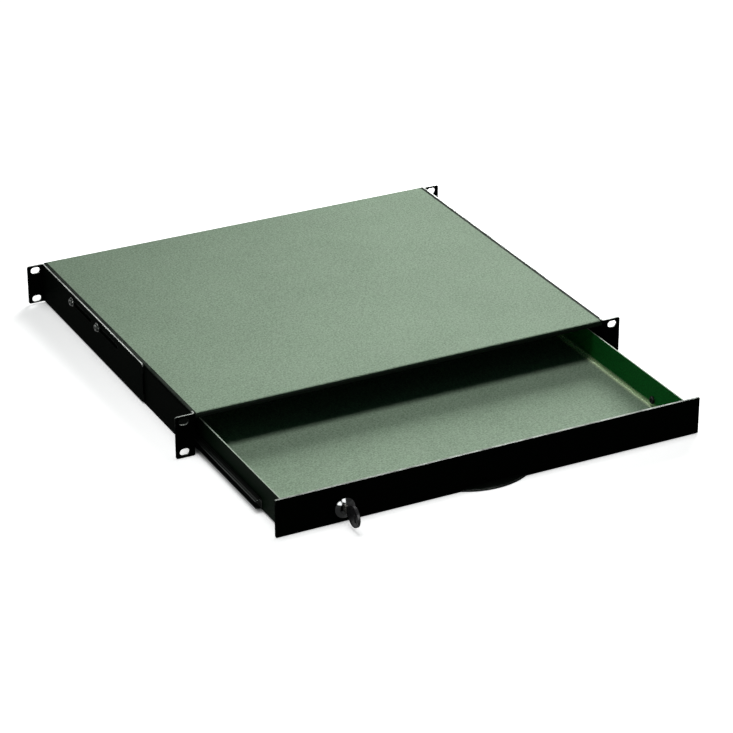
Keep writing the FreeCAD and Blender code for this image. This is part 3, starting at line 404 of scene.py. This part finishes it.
# drawn or tumbled metal under plating: streaks along one way, and cloudy tone
def makePlateGrain():
    group, given, made = startGroup("plateGrain", {
        "Color": ("Color", rgba((0.5, 0.5, 0.5))), "Lay": ("Vector", (1500.0, 60.0, 1500.0)),
        "Streak": ("Float", 0.2), "Cloud": ("Float", 0.2), "Roughness": ("Float", 0.3),
        "Roughness Spread": ("Float", 0.2),
    }, {"Color": "Color", "Roughness": "Float", "Height": "Float"})
    spot = addNode(group, "TexCoord").outputs["Object"]
    drawn = addNode(group, "VectorMath", {0: spot, 1: given["Lay"]}, operation="MULTIPLY").outputs[0]
    streak = addNode(group, "TexNoise", {"Vector": drawn, "Scale": 1.0, **pebbleNoise})
    cloud = addNode(group, "TexNoise", {"Vector": spot, "Scale": plateCloudDensity, **cloudNoise})
    streakShift = maths(group, "SUBTRACT", streak.outputs[0], noiseMiddle)
    cloudShift = maths(group, "SUBTRACT", cloud.outputs[0], noiseMiddle)
    streakTone = maths(group, "MULTIPLY", streakShift, given["Streak"])
    cloudTone = maths(group, "MULTIPLY", cloudShift, given["Cloud"])
    shade = maths(group, "ADD", maths(group, "ADD", streakTone, cloudTone), 1.0)
    toned = addNode(group, "VectorMath", {0: given["Color"], "Scale": shade}, operation="SCALE")
    spread = maths(group, "MULTIPLY", streakShift, given["Roughness Spread"])
    group.links.new(toned.outputs[0], made["Color"])
    group.links.new(maths(group, "ADD", given["Roughness"], spread), made["Roughness"])
    group.links.new(streak.outputs[0], made["Height"])
    return group


coatGrain = makeCoatGrain()
paintedFacingShade = makePaintedFacingShade()
wearAndHighlightEdge = makeWearAndHighlightEdge()
edgeWear = makeEdgeWear()
settledDust = makeSettledDust()
plateGrain = makePlateGrain()
print("node groups:", len(bpy.data.node_groups))


def startMaterial(name):
    material = bpy.data.materials.new(name)
    material.use_nodes = True
    tree = material.node_tree
    return material, tree, tree.nodes["Principled BSDF"].inputs


def useGroup(tree, group, sockets):
    return addNode(tree, "Group", sockets, node_tree=group).outputs


# powder coat with painted shade on upright faces, lighter edges that are part wear and part painted
# highlight, and a trace of dust
def powderCoat(name, look):
    material, tree, shader = startMaterial(name)
    tone = useGroup(tree, paintedFacingShade, {
        "Top Color": rgba(look["colour"]), "Inner Shade Color": rgba(look["innerShadeColour"]),
        "Outer Shade Color": rgba(look["outerShadeColour"]), "Fold Highlight Color": rgba(look["foldHighlightColour"]),
        "Half Width": look["halfWidth"], "Shaded Side Fold": look["shadedSideFold"], "Fold Highlight Reach": look["foldHighlightReach"]})
    coat = useGroup(tree, coatGrain, {
        "Color": tone["Color"], "Grain Size": look["grainSize"], "Speckle": look["speckle"],
        "Mottle": look["mottle"], "Roughness": look["roughness"],
        "Roughness Spread": look["roughnessSpread"]})
    edge = useGroup(tree, wearAndHighlightEdge, {
        "Sheet": look["sheet"], "Round": look["edgeRound"], "Amount": look["edgeAmount"],
        "Side Share": look["edgeSideShare"], "Unmarked Middle Height": look["edgeFrom"],
        "Patch Size": look["edgePatch"]})
    dust = useGroup(tree, settledDust, {"Amount": look["dustAmount"]})
    edgeMarked = mixColour(tree, edge["Mask"], coat["Color"], rgba(look["edgeColour"]))
    dusty = mixColour(tree, dust["Mask"], edgeMarked, rgba(look["dustColour"]))
    bump = addNode(tree, "Bump", {
        "Strength": look["bumpStrength"], "Distance": look["bumpDepth"], "Height": coat["Height"],
        "Normal": edge["Normal"]})
    bare = maths(tree, "MULTIPLY", edge["Mask"], look["edgeMetal"])  # bare metal shows on the marked edges, worn in part and a painted highlight in part
    tree.links.new(dusty, shader["Base Color"])
    tree.links.new(bare, shader["Metallic"])
    tree.links.new(coat["Roughness"], shader["Roughness"])
    tree.links.new(bump.outputs[0], shader["Normal"])
    shader["Specular IOR Level"].default_value = look["specular"]
    return material


# no shine to speak of on either paint, because the dark faces in the photo are black
# in both paints the upright faces are coloured as painted shade, and the inner folds as a painted highlight
greyGreen = {
    "colour": (0.262, 0.352, 0.256), "innerShadeColour": (0.011, 0.160, 0.029),
    "outerShadeColour": (0.004, 0.010, 0.005), "foldHighlightColour": (0.80, 0.95, 0.62), "halfWidth": 1.0,
    "shadedSideFold": 0.0, "foldHighlightReach": 5.0 * mm, "grainSize": 1.7 * mm, "speckle": 1.8, "mottle": 0.2,
    "roughness": 0.55, "roughnessSpread": 0.3, "specular": 0.01, "sheet": 1.2 * mm,
    "edgeColour": (0.11, 0.125, 0.11), "edgeRound": 0.4 * mm, "edgeAmount": 0.95, "edgeSideShare": 0.06,
    "edgePatch": 14 * mm, "edgeMetal": 0.9, "edgeFrom": 0.0,
    "dustColour": (0.42, 0.45, 0.40), "dustAmount": 0.10, "bumpStrength": 0.4, "bumpDepth": 0.14 * mm}

greyGreenCoat = powderCoat("greyGreenCoat", greyGreen)
# painted shade: the cover's side folds are painted dark, standing for the shadowed gap beside the rear
# brackets, and its upright faces take the deep shade
coverCoat = powderCoat("coverCoat", {
    **greyGreen, "innerShadeColour": greyGreen["outerShadeColour"], "halfWidth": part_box("top_cover")[1].x,
    "shadedSideFold": 3.3 * mm, "edgeAmount": 0.0})

satinBlack = {
    "colour": (0.0026, 0.0040, 0.0028), "innerShadeColour": (0.0022, 0.0034, 0.0024),
    "outerShadeColour": (0.0022, 0.0034, 0.0024), "foldHighlightColour": (0.003, 0.0045, 0.0032), "halfWidth": 1.0,
    "shadedSideFold": 0.0, "foldHighlightReach": 0.5 * mm, "grainSize": 1.4 * mm,
    "speckle": 0.9, "mottle": 0.3, "roughness": 0.5, "roughnessSpread": 0.3, "specular": 0.001,
    "sheet": 1.6 * mm,
    "edgeColour": (0.18, 0.195, 0.18), "edgeRound": 0.4 * mm, "edgeAmount": 0.95, "edgeSideShare": 0.06,
    "edgePatch": 16 * mm, "edgeMetal": 0.95, "edgeFrom": 11.2 * mm,
    "dustColour": (0.06, 0.07, 0.06), "dustAmount": 0.06, "bumpStrength": 0.4, "bumpDepth": 0.10 * mm}

blackCoat = powderCoat("blackCoat", satinBlack)
# the brackets' edges are lighter still, a painted highlight along their top edge
bracketCoatHighlit = powderCoat("bracketCoatHighlit", {**satinBlack, "edgeColour": (0.38, 0.40, 0.38)})


# plated metal, brighter where handling has polished the edges
def platedMetal(name, look):
    material, tree, shader = startMaterial(name)
    plate = useGroup(tree, plateGrain, {
        "Color": rgba(look["colour"]), "Lay": look["lay"], "Streak": look["streak"], "Cloud": look["cloud"],
        "Roughness": look["roughness"], "Roughness Spread": look["roughnessSpread"]})
    edge = useGroup(tree, edgeWear, {
        "Width": look["edgeWidth"], "Amount": look["edgeAmount"], "Patch Size": look["edgePatch"]})
    edgeMarked = mixColour(tree, edge["Mask"], plate["Color"], rgba(look["edgeColour"]))
    bump = addNode(tree, "Bump", {
        "Strength": look["bumpStrength"], "Distance": look["bumpDepth"], "Height": plate["Height"],
        "Normal": edge["Normal"]})
    tree.links.new(edgeMarked, shader["Base Color"])
    tree.links.new(plate["Roughness"], shader["Roughness"])
    tree.links.new(bump.outputs[0], shader["Normal"])
    shader["Metallic"].default_value = 1.0
    return material


blackZincPlate = platedMetal("blackZincPlate", {
    "colour": (0.010, 0.012, 0.0105), "lay": (1800.0, 45.0, 1800.0), "streak": 0.5, "cloud": 0.5,
    "roughness": 0.42, "roughnessSpread": 0.3, "edgeColour": (0.16, 0.17, 0.16), "edgeWidth": 0.3 * mm,
    "edgeAmount": 0.6, "edgePatch": 9 * mm, "bumpStrength": 0.2, "bumpDepth": 0.02 * mm})

wornScrewPlate = platedMetal("wornScrewPlate", {
    "colour": (0.014, 0.016, 0.0145), "lay": (900.0, 900.0, 900.0), "streak": 0.3, "cloud": 0.4,
    "roughness": 0.30, "roughnessSpread": 0.20, "edgeColour": (0.22, 0.23, 0.22), "edgeWidth": 0.35 * mm,
    "edgeAmount": 0.95, "edgePatch": 5 * mm, "bumpStrength": 0.15, "bumpDepth": 0.02 * mm})

brightZincPlate = platedMetal("brightZincPlate", {
    "colour": (0.50, 0.51, 0.49), "lay": (900.0, 900.0, 900.0), "streak": 0.2, "cloud": 0.35,
    "roughness": 0.34, "roughnessSpread": 0.25, "edgeColour": (0.68, 0.69, 0.67), "edgeWidth": 0.25 * mm,
    "edgeAmount": 0.5, "edgePatch": 4 * mm, "bumpStrength": 0.15, "bumpDepth": 0.02 * mm})

bearingSteel = platedMetal("bearingSteel", {
    "colour": (0.60, 0.60, 0.60), "lay": (700.0, 700.0, 700.0), "streak": 0.08, "cloud": 0.08,
    "roughness": 0.14, "roughnessSpread": 0.08, "edgeColour": (0.66, 0.66, 0.66), "edgeWidth": 0.1 * mm,
    "edgeAmount": 0.1, "edgePatch": 4 * mm, "bumpStrength": 0.05, "bumpDepth": 0.01 * mm})

# painted shade in the reflection: the chrome is near black, far darker than bright chrome, so its rim
# reflects the white studio as shade; the glint lamps put the bright patches on it
lockChromeShaded = platedMetal("lockChromeShaded", {
    "colour": (0.016, 0.0165, 0.0165), "lay": (500.0, 500.0, 500.0), "streak": 0.1, "cloud": 0.1,
    "roughness": 0.08, "roughnessSpread": 0.04, "edgeColour": (0.30, 0.31, 0.31), "edgeWidth": 0.2 * mm,
    "edgeAmount": 0.2, "edgePatch": 3 * mm, "bumpStrength": 0.06, "bumpDepth": 0.01 * mm})

keyNickel = platedMetal("keyNickel", {
    "colour": (0.55, 0.53, 0.48), "lay": (1200.0, 90.0, 1200.0), "streak": 0.25, "cloud": 0.2,
    "roughness": 0.28, "roughnessSpread": 0.25, "edgeColour": (0.70, 0.67, 0.60), "edgeWidth": 0.2 * mm,
    "edgeAmount": 0.5, "edgePatch": 3 * mm, "bumpStrength": 0.2, "bumpDepth": 0.02 * mm})


# moulded plastic of the key's bow and the slides' buffers
def mouldedPlastic(name, look):
    material, tree, shader = startMaterial(name)
    skin = useGroup(tree, coatGrain, {
        "Color": rgba(look["colour"]), "Grain Size": look["grainSize"], "Speckle": look["speckle"],
        "Mottle": look["mottle"], "Roughness": look["roughness"],
        "Roughness Spread": look["roughnessSpread"]})
    edge = useGroup(tree, edgeWear, {
        "Width": look["edgeWidth"], "Amount": look["edgeAmount"], "Patch Size": look["edgePatch"]})
    rubbed = mixColour(tree, edge["Mask"], skin["Color"], rgba(look["edgeColour"]))
    bump = addNode(tree, "Bump", {
        "Strength": look["bumpStrength"], "Distance": look["bumpDepth"], "Height": skin["Height"],
        "Normal": edge["Normal"]})
    tree.links.new(rubbed, shader["Base Color"])
    tree.links.new(skin["Roughness"], shader["Roughness"])
    tree.links.new(bump.outputs[0], shader["Normal"])
    shader["Specular IOR Level"].default_value = look["specular"]
    return material


blackPlastic = mouldedPlastic("blackPlastic", {
    "colour": (0.008, 0.008, 0.009), "grainSize": 0.35 * mm, "speckle": 0.4, "mottle": 0.1,
    "roughness": 0.42, "roughnessSpread": 0.2, "specular": 0.09, "edgeColour": (0.05, 0.05, 0.05),
    "edgeWidth": 0.3 * mm, "edgeAmount": 0.4, "edgePatch": 3 * mm, "bumpStrength": 0.25,
    "bumpDepth": 0.03 * mm})

finishes = {
    "grey_green_paint": greyGreenCoat,
    "black_paint": blackCoat,
    "black_zinc": blackZincPlate,
    "zinc": brightZincPlate,
    "ball_steel": bearingSteel,
    "lock_chrome": lockChromeShaded,
    "key_nickel": keyNickel,
    "black_plastic": blackPlastic,
}
for subPart in frame["record"]["subparts"]:
    nodes[subPart["node"]].material_slots[0].material = finishes[subPart["material_slot"]]
nodes["top_cover"].material_slots[0].material = coverCoat
for bracket in ("rear_bracket_left", "rear_bracket_right"):
    nodes[bracket].material_slots[0].material = bracketCoatHighlit
print("finishes:", len(finishes), "on", len(nodes), "pieces")


# turned and headed hardware: rings round Z, each (radius, height, form, corner cut)
turning = {"crossArm": 0.28, "cornerSlope": 30, "sharpAngle": 35, "tiny": 1e-6}


def ringReach(form, angle, radius):
    if form == "hex":
        return radius * cos(pi / 6) / cos(angle % (pi / 3) - pi / 6)
    if form == "cross":
        along = max(abs(cos(angle)), turning["tiny"])
        across = max(abs(sin(angle)), turning["tiny"])
        arm = radius * turning["crossArm"]
        return max(min(radius / along, arm / across), min(arm / along, radius / across))
    return radius


def turnedShape(rings, count=48, closed=False):
    slope = tan(radians(turning["cornerSlope"]))
    points = []
    loops = []
    for radius, height, *form in rings:
        kind = form[0] if form else "round"
        cornerCut = form[1] if len(form) > 1 else None
        loop = []
        for step in range(count if radius else 1):
            angle = 2 * pi * step / count
            reach = ringReach(kind, angle, radius)
            drop = max(0.0, reach - cornerCut) * slope if cornerCut else 0.0
            loop.append(len(points))
            points.append(Vector((reach * cos(angle), reach * sin(angle), height - drop)) * mm)
        loops.append(loop)
    pairs = list(zip(loops, loops[1:]))
    if closed:
        pairs.append((loops[-1], loops[0]))
    faces = []
    for lower, upper in pairs:
        for step in range(count):
            ahead = (step + 1) % count
            corners = [lower[step % len(lower)], lower[ahead % len(lower)],
                       upper[ahead % len(upper)], upper[step % len(upper)]]
            faces.append(list(dict.fromkeys(corners)))
    return points, faces


# thread as a stack of crests and roots, from one height to another
def threadRings(root, crest, pitch, start, end):
    turns = int((end - start) / pitch)
    rings = []
    for turn in range(turns):
        rings += [(root, start + pitch * turn), (crest, start + pitch * (turn + 0.5))]
    return rings + [(root, start + pitch * turns)]


def facing(place, direction):
    return Matrix.Translation(place) @ Vector(direction).to_track_quat("Z", "Y").to_matrix().to_4x4()


def addPiece(name, shapes, finish, body, slotName, *standsFor):
    points = []
    faces = []
    for shapePoints, shapeFaces, place in shapes:
        start = len(points)
        points += [place @ point for point in shapePoints]
        faces += [[start + index for index in face] for face in shapeFaces]
    mesh = bpy.data.meshes.new(name)
    mesh.from_pydata(points, [], faces)
    mesh.materials.append(finish)
    mesh.shade_smooth()
    mesh.set_sharp_from_angle(angle=radians(turning["sharpAngle"]))
    piece = bpy.data.objects.new(name, mesh)
    scene.collection.objects.link(piece)
    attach(piece, body)
    if standsFor:
        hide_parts(*standsFor)
    return piece


# button-headed screws with washers on the rear brackets
bracketScrew = {
    "washer": 4.8, "washerSheet": 0.8, "head": 3.9, "headHeight": 2.2, "socket": 1.75, "socketDepth": 1.3,
    "shank": 1.85, "shankLength": 7.15, "pitch": 0.7, "tip": 0.4, "thread": 0.3, "chamfer": 0.2,
    "headRound": 0.15, "headBand": 0.6, "crown": 0.48, "domeSteps": 5, "domeTurn": 15, "socketLip": 0.12,
    "socketPoint": 0.25}


def bracketScrewShape(size):
    seat = size["washerSheet"]
    top = seat + size["headHeight"]
    head = size["head"]
    shank = size["shank"]
    washer = size["washer"]
    cut = size["chamfer"]
    end = -size["shankLength"]
    band = size["headBand"]
    rings = [(0, end), (shank - size["tip"], end)]
    rings += threadRings(shank - size["thread"], shank, size["pitch"], end + size["thread"], -size["thread"])
    rings += [(shank, 0), (washer - cut, 0), (washer, cut), (washer, seat - cut), (washer - cut, seat),
              (head - size["headRound"], seat), (head, seat + cut), (head, seat + band)]
    for step in range(1, size["domeSteps"] + 1):  # dome of the head
        turn = radians(size["domeTurn"] * step)
        reach = size["crown"] + (1 - size["crown"]) * cos(turn)
        rings.append((head * reach, seat + band + (size["headHeight"] - band) * sin(turn)))
    floor = top - size["socketDepth"]
    rings += [(size["socket"] + cut, top), (size["socket"], top - size["socketLip"], "hex"),
              (size["socket"], floor, "hex"), (0, floor - size["socketPoint"])]
    return turnedShape(rings)


def bracketScrewPlaces(outer):
    low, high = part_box("bracket_screws")
    inset = bracketScrew["washer"] * mm
    height = (low.z + high.z) / 2
    for side in (-1, 1):
        for depth in (low.y + inset, high.y - inset):
            yield Vector((side * (high.x - outer * mm), depth, height)), (side, 0, 0)


screwShape = bracketScrewShape(bracketScrew)
screwSeat = bracketScrew["washerSheet"] + bracketScrew["headHeight"]
addPiece("bracketScrews", [(*screwShape, facing(*place)) for place in bracketScrewPlaces(screwSeat)],
         wornScrewPlate, "case", "black_zinc", "bracket_screws")


# hexagon nuts with a cut corner
nutCut = {"bore": 0.25, "rim": 0.1, "foot": 0.12}


def hexNutShape(corner, hole, height):
    flat = corner * cos(pi / 6)
    mouth = hole + nutCut["bore"]
    return turnedShape([
        (hole, nutCut["bore"]), (mouth, 0), (flat - nutCut["rim"], 0), (corner, nutCut["foot"], "hex", flat),
        (corner, height, "hex", flat), (flat, height), (mouth, height), (hole, height - nutCut["bore"]),
    ], closed=True)


bracketNut = {"corner": 4.0, "hole": 1.9, "height": 3.2}


def bracketNutPlaces():
    low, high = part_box("bracket_nuts")
    inset = bracketNut["corner"] * cos(pi / 6) * mm
    height = (low.z + high.z) / 2
    for side in (-1, 1):
        for depth in (low.y + inset, high.y - inset):
            yield Vector((side * high.x, depth, height)), (-side, 0, 0)


nutShape = hexNutShape(**bracketNut)
addPiece("bracketNuts", [(*nutShape, facing(*place)) for place in bracketNutPlaces()],
         brightZincPlate, "case", "zinc", "bracket_nuts")


# pan-headed screws with a cross recess, from inside the tray into the slides
traySlideScrew = {
    "head": 3.9, "headHeight": 2.2, "recess": 2.1, "recessDepth": 1.2, "shank": 1.9, "reach": 3.2, "tip": 0.3,
    "chamfer": 0.2, "recessTaper": 0.8,
    "dome": ((0, 0.5), (0.12, 0.68), (0.45, 0.86), (0.95, 0.97), (1.5, 1))}  # inset, and share of the height


def traySlideScrewShape(size):
    head = size["head"]
    top = size["headHeight"]
    cut = size["chamfer"]
    end = -size["reach"]
    floor = top - size["recessDepth"]
    shank = size["shank"]
    rings = [(0, end), (shank - size["tip"], end), (shank, end + size["tip"]), (shank, 0), (head - cut, 0),
             (head, cut)]
    rings += [(head - inset, top * share) for inset, share in size["dome"]]
    rings += [(size["recess"], top, "cross"), (size["recess"] * size["recessTaper"], floor, "cross"),
              (0, floor - cut)]
    return turnedShape(rings, count=64)


def traySlideScrewPlaces():
    low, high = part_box("slide_tray_screws")
    inset = traySlideScrew["head"] * mm
    height = (low.z + high.z) / 2
    seat = high.x - traySlideScrew["reach"] * mm
    for side in (-1, 1):
        for depth in (low.y + inset, high.y - inset):
            yield Vector((side * seat, depth, height)), (-side, 0, 0)


traySlideShape = traySlideScrewShape(traySlideScrew)
addPiece("traySlideScrews", [(*traySlideShape, facing(*place)) for place in traySlideScrewPlaces()],
         blackZincPlate, "drawer", "black_zinc", "slide_tray_screws")


# nuts on the panel's studs, behind the tray's front wall
panelNut = {"corner": 4.0, "hole": 1.9, "height": 3.2}
studTip = {"crest": 2.02, "root": 1.92, "pitch": 0.7, "length": 2.1, "sunk": 0.6, "tip": 0.4, "tipInset": 0.5}
panelNutSpan = {"inner": 60.0, "outer": 180.0}


def panelNutPlaces():
    low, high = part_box("panel_nuts")
    height = (low.z + high.z) / 2
    for across in panelNutSpan.values():
        for side in (-1, 1):
            yield Vector((side * across * mm, low.y, height)), (0, 1, 0)


def studTipShape(size):
    start = panelNut["height"] - size["sunk"]
    end = panelNut["height"] + size["length"]
    rings = [(0, start)] + threadRings(size["root"], size["crest"], size["pitch"], start, end - size["tip"])
    return turnedShape(rings + [(size["root"] - size["tipInset"], end), (0, end)], count=32)


panelNutShape = hexNutShape(**panelNut)
studShape = studTipShape(studTip)
addPiece("panelNuts", [(*panelNutShape, facing(*place)) for place in panelNutPlaces()],
         brightZincPlate, "drawer", "zinc", "panel_nuts")
addPiece("panelStudTips", [(*studShape, facing(*place)) for place in panelNutPlaces()],
         brightZincPlate, "drawer", "zinc")


# bearing balls in both slides
bearingBall = {"radius": 1.45, "pitch": 12.5, "inset": 1.22, "count": 5, "rings": 12}


def ballShape(size):
    rings = []
    for step in range(size["rings"] + 1):
        turn = pi * step / size["rings"]
        reach = 0 if step in (0, size["rings"]) else size["radius"] * sin(turn)
        rings.append((reach, -size["radius"] * cos(turn)))
    return turnedShape(rings, count=20)


def ballPlaces(size):
    low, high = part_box("slide_balls")
    middle = (low.y + high.y) / 2
    inset = size["inset"] * mm
    for side in (low.x + inset, high.x - inset):
        for race in (low.z + inset, high.z - inset):
            for index in range(size["count"]):
                along = (index - (size["count"] - 1) / 2) * size["pitch"] * mm
                yield Vector((side, middle + along, race)), (0, 0, 1)


oneBall = ballShape(bearingBall)
addPiece("bearingBalls", [(*oneBall, facing(*place)) for place in ballPlaces(bearingBall)],
         bearingSteel, "cages", "ball_steel", "slide_balls")
print("hardware of case and drawer made")


# cam lock: turned housing with a threaded barrel, hexagon ring nut, and the cam's screw
lockHousing = {
    "rim": 10.0, "rimHeight": 2.4, "rimFall": 1.6, "rimFlat": 0.5, "barrel": 8.0, "barrelLength": 12.0,
    "bore": 5.55, "pitch": 1.0, "barrelEnd": 0.7, "thread": 0.4, "rimFoot": 0.1, "boreCut": 0.25,
    "shoulder": ((0, -0.15), (0.04, -0.02), (0.2, 0.09)),  # inset from the rim, and rise from its edge
    "brow": ((0.25, 0.12), (0, 0.03), (-0.2, 0))}  # reach past the flat, and drop from the top


def lockHousingShape(size):
    top = size["rimHeight"]
    rim = size["rim"]
    back = -size["barrelLength"]
    thread = size["thread"]
    rings = [(size["bore"], back), (size["barrel"] - size["barrelEnd"], back)]
    rings += threadRings(size["barrel"] - thread, size["barrel"], size["pitch"], back + thread, -thread)
    edge = top - size["rimFall"]
    flat = size["bore"] + size["rimFlat"]
    rings += [(size["barrel"], 0), (rim - size["rimFoot"], 0), (rim, size["rimFoot"])]
    rings += [(rim - inset, edge + rise) for inset, rise in size["shoulder"]]
    rings += [(flat + reach, top - drop) for reach, drop in size["brow"]]
    rings += [(size["bore"] + size["boreCut"], top), (size["bore"], top - size["boreCut"])]
    return turnedShape(rings, count=96, closed=True)


lockLow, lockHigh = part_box("lock_body")
lockCentre = (lockLow + lockHigh) / 2
panelFront = lockLow.y + lockHousing["rimHeight"] * mm
lockPlace = facing(Vector((lockCentre.x, panelFront, lockCentre.z)), (0, -1, 0))
addPiece("lockHousing", [(*lockHousingShape(lockHousing), lockPlace)], lockChromeShaded, "drawer", "lock_chrome",
         "lock_body")

lockRingNut = {"corner": 11.5, "hole": 7.9, "height": 3.0}
ringNutSeat = Vector((lockCentre.x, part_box("lock_nut")[0].y, lockCentre.z))
addPiece("lockRingNut", [(*hexNutShape(**lockRingNut), facing(ringNutSeat, (0, 1, 0)))],
         brightZincPlate, "drawer", "zinc", "lock_nut")

camScrew = {
    "corner": 4.5, "height": 2.0, "shank": 1.9, "reach": 2.0, "rim": 0.1, "foot": 0.12, "dishRim": 0.15,
    "dishReach": 0.6, "dishDepth": 0.25}


def camScrewShape(size):
    flat = size["corner"] * cos(pi / 6)
    top = size["height"]
    return turnedShape([
        (0, -size["reach"]), (size["shank"], -size["reach"]), (size["shank"], 0), (flat - size["rim"], 0),
        (size["corner"], size["foot"], "hex", flat), (size["corner"], top, "hex", flat),
        (flat - size["dishRim"], top), (flat - size["dishReach"], top - size["dishRim"]),
        (0, top - size["dishDepth"])])


camScrewSeat = Vector((lockCentre.x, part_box("cam_screw")[1].y - camScrew["height"] * mm, lockCentre.z))
addPiece("camScrew", [(*camScrewShape(camScrew), facing(camScrewSeat, (0, 1, 0)))],
         brightZincPlate, "lock", "zinc", "cam_screw")


# moulded bow of the key: a rimmed disc on a collar, with an upright hole for a ring
bowLow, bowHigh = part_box("key_bow")
bowRadius = (bowHigh.z - bowLow.z) / 2 / mm
keyBow = {
    "radius": bowRadius, "reach": (panelFront - bowLow.y) / mm - bowRadius, "collar": 10.0,
    "collarReach": (panelFront - bowHigh.y) / mm, "sheet": 3.2, "holeLength": 8.0, "holeWidth": 3.4,
    "holeOffset": 4.5, "rim": 1.5, "dish": 0.45, "edge": 0.5, "edgeSteps": 3, "edgeAngle": 40, "steps": 40,
    "holeSteps": 8, "plateFacing": 0.9}


def bowLoops(size):
    start = (size["collar"] / 2) / size["radius"]
    outline = [(-size["collar"] / 2, size["collarReach"]), (size["collar"] / 2, size["collarReach"])]
    for step in range(size["steps"] + 1):  # round the disc from one shoulder to the other
        turn = -pi / 2 + start + (2 * pi - 2 * start) * step / size["steps"]
        outline.append((size["radius"] * cos(turn), size["reach"] + size["radius"] * sin(turn)))
    half = (size["holeLength"] - size["holeWidth"]) / 2
    hole = []
    for side in (1, -1):
        for step in range(size["holeSteps"] + 1):
            turn = -pi / 2 * side + pi * side * step / size["holeSteps"]
            across = side * half + side * size["holeWidth"] / 2 * cos(turn)
            hole.append((across, size["reach"] + size["holeOffset"] + size["holeWidth"] / 2 * sin(turn)))
    return outline, hole


def makeKeyBow(size):
    sheet = bmesh.new()
    edges = []
    for loop in bowLoops(size):
        verts = [sheet.verts.new((-size["sheet"] / 2 * mm, -ahead * mm, up * mm)) for up, ahead in loop]
        edges += [sheet.edges.new((vert, verts[index - 1])) for index, vert in enumerate(verts)]
    face = bmesh.ops.triangle_fill(sheet, edges=edges, use_beauty=True)["geom"]
    flat = [item for item in face if isinstance(item, bmesh.types.BMFace)]
    raised = bmesh.ops.extrude_face_region(sheet, geom=flat)["geom"]
    bmesh.ops.translate(sheet, vec=(size["sheet"] * mm, 0, 0),
                        verts=[item for item in raised if isinstance(item, bmesh.types.BMVert)])
    bmesh.ops.recalc_face_normals(sheet, faces=sheet.faces)
    for side in (-1, 1):
        plate = [item for item in sheet.faces if item.normal.x * side > size["plateFacing"]]
        bmesh.ops.inset_region(sheet, faces=plate, thickness=size["rim"] * mm, depth=-size["dish"] * mm,
                               use_even_offset=True)
    mesh = bpy.data.meshes.new("keyBow")
    sheet.to_mesh(mesh)
    sheet.free()
    mesh.materials.append(blackPlastic)
    mesh.transform(Matrix.Translation((lockCentre.x, panelFront, lockCentre.z)))
    mesh.shade_smooth()
    bow = bpy.data.objects.new("keyBow", mesh)
    scene.collection.objects.link(bow)
    soften = bow.modifiers.new("softEdges", "BEVEL")
    soften.width = size["edge"] * mm
    soften.segments = size["edgeSteps"]
    soften.limit_method = "ANGLE"
    soften.angle_limit = radians(size["edgeAngle"])
    soften.harden_normals = True
    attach(bow, "key")
    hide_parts("key_bow")


makeKeyBow(keyBow)
print("lock and key made")
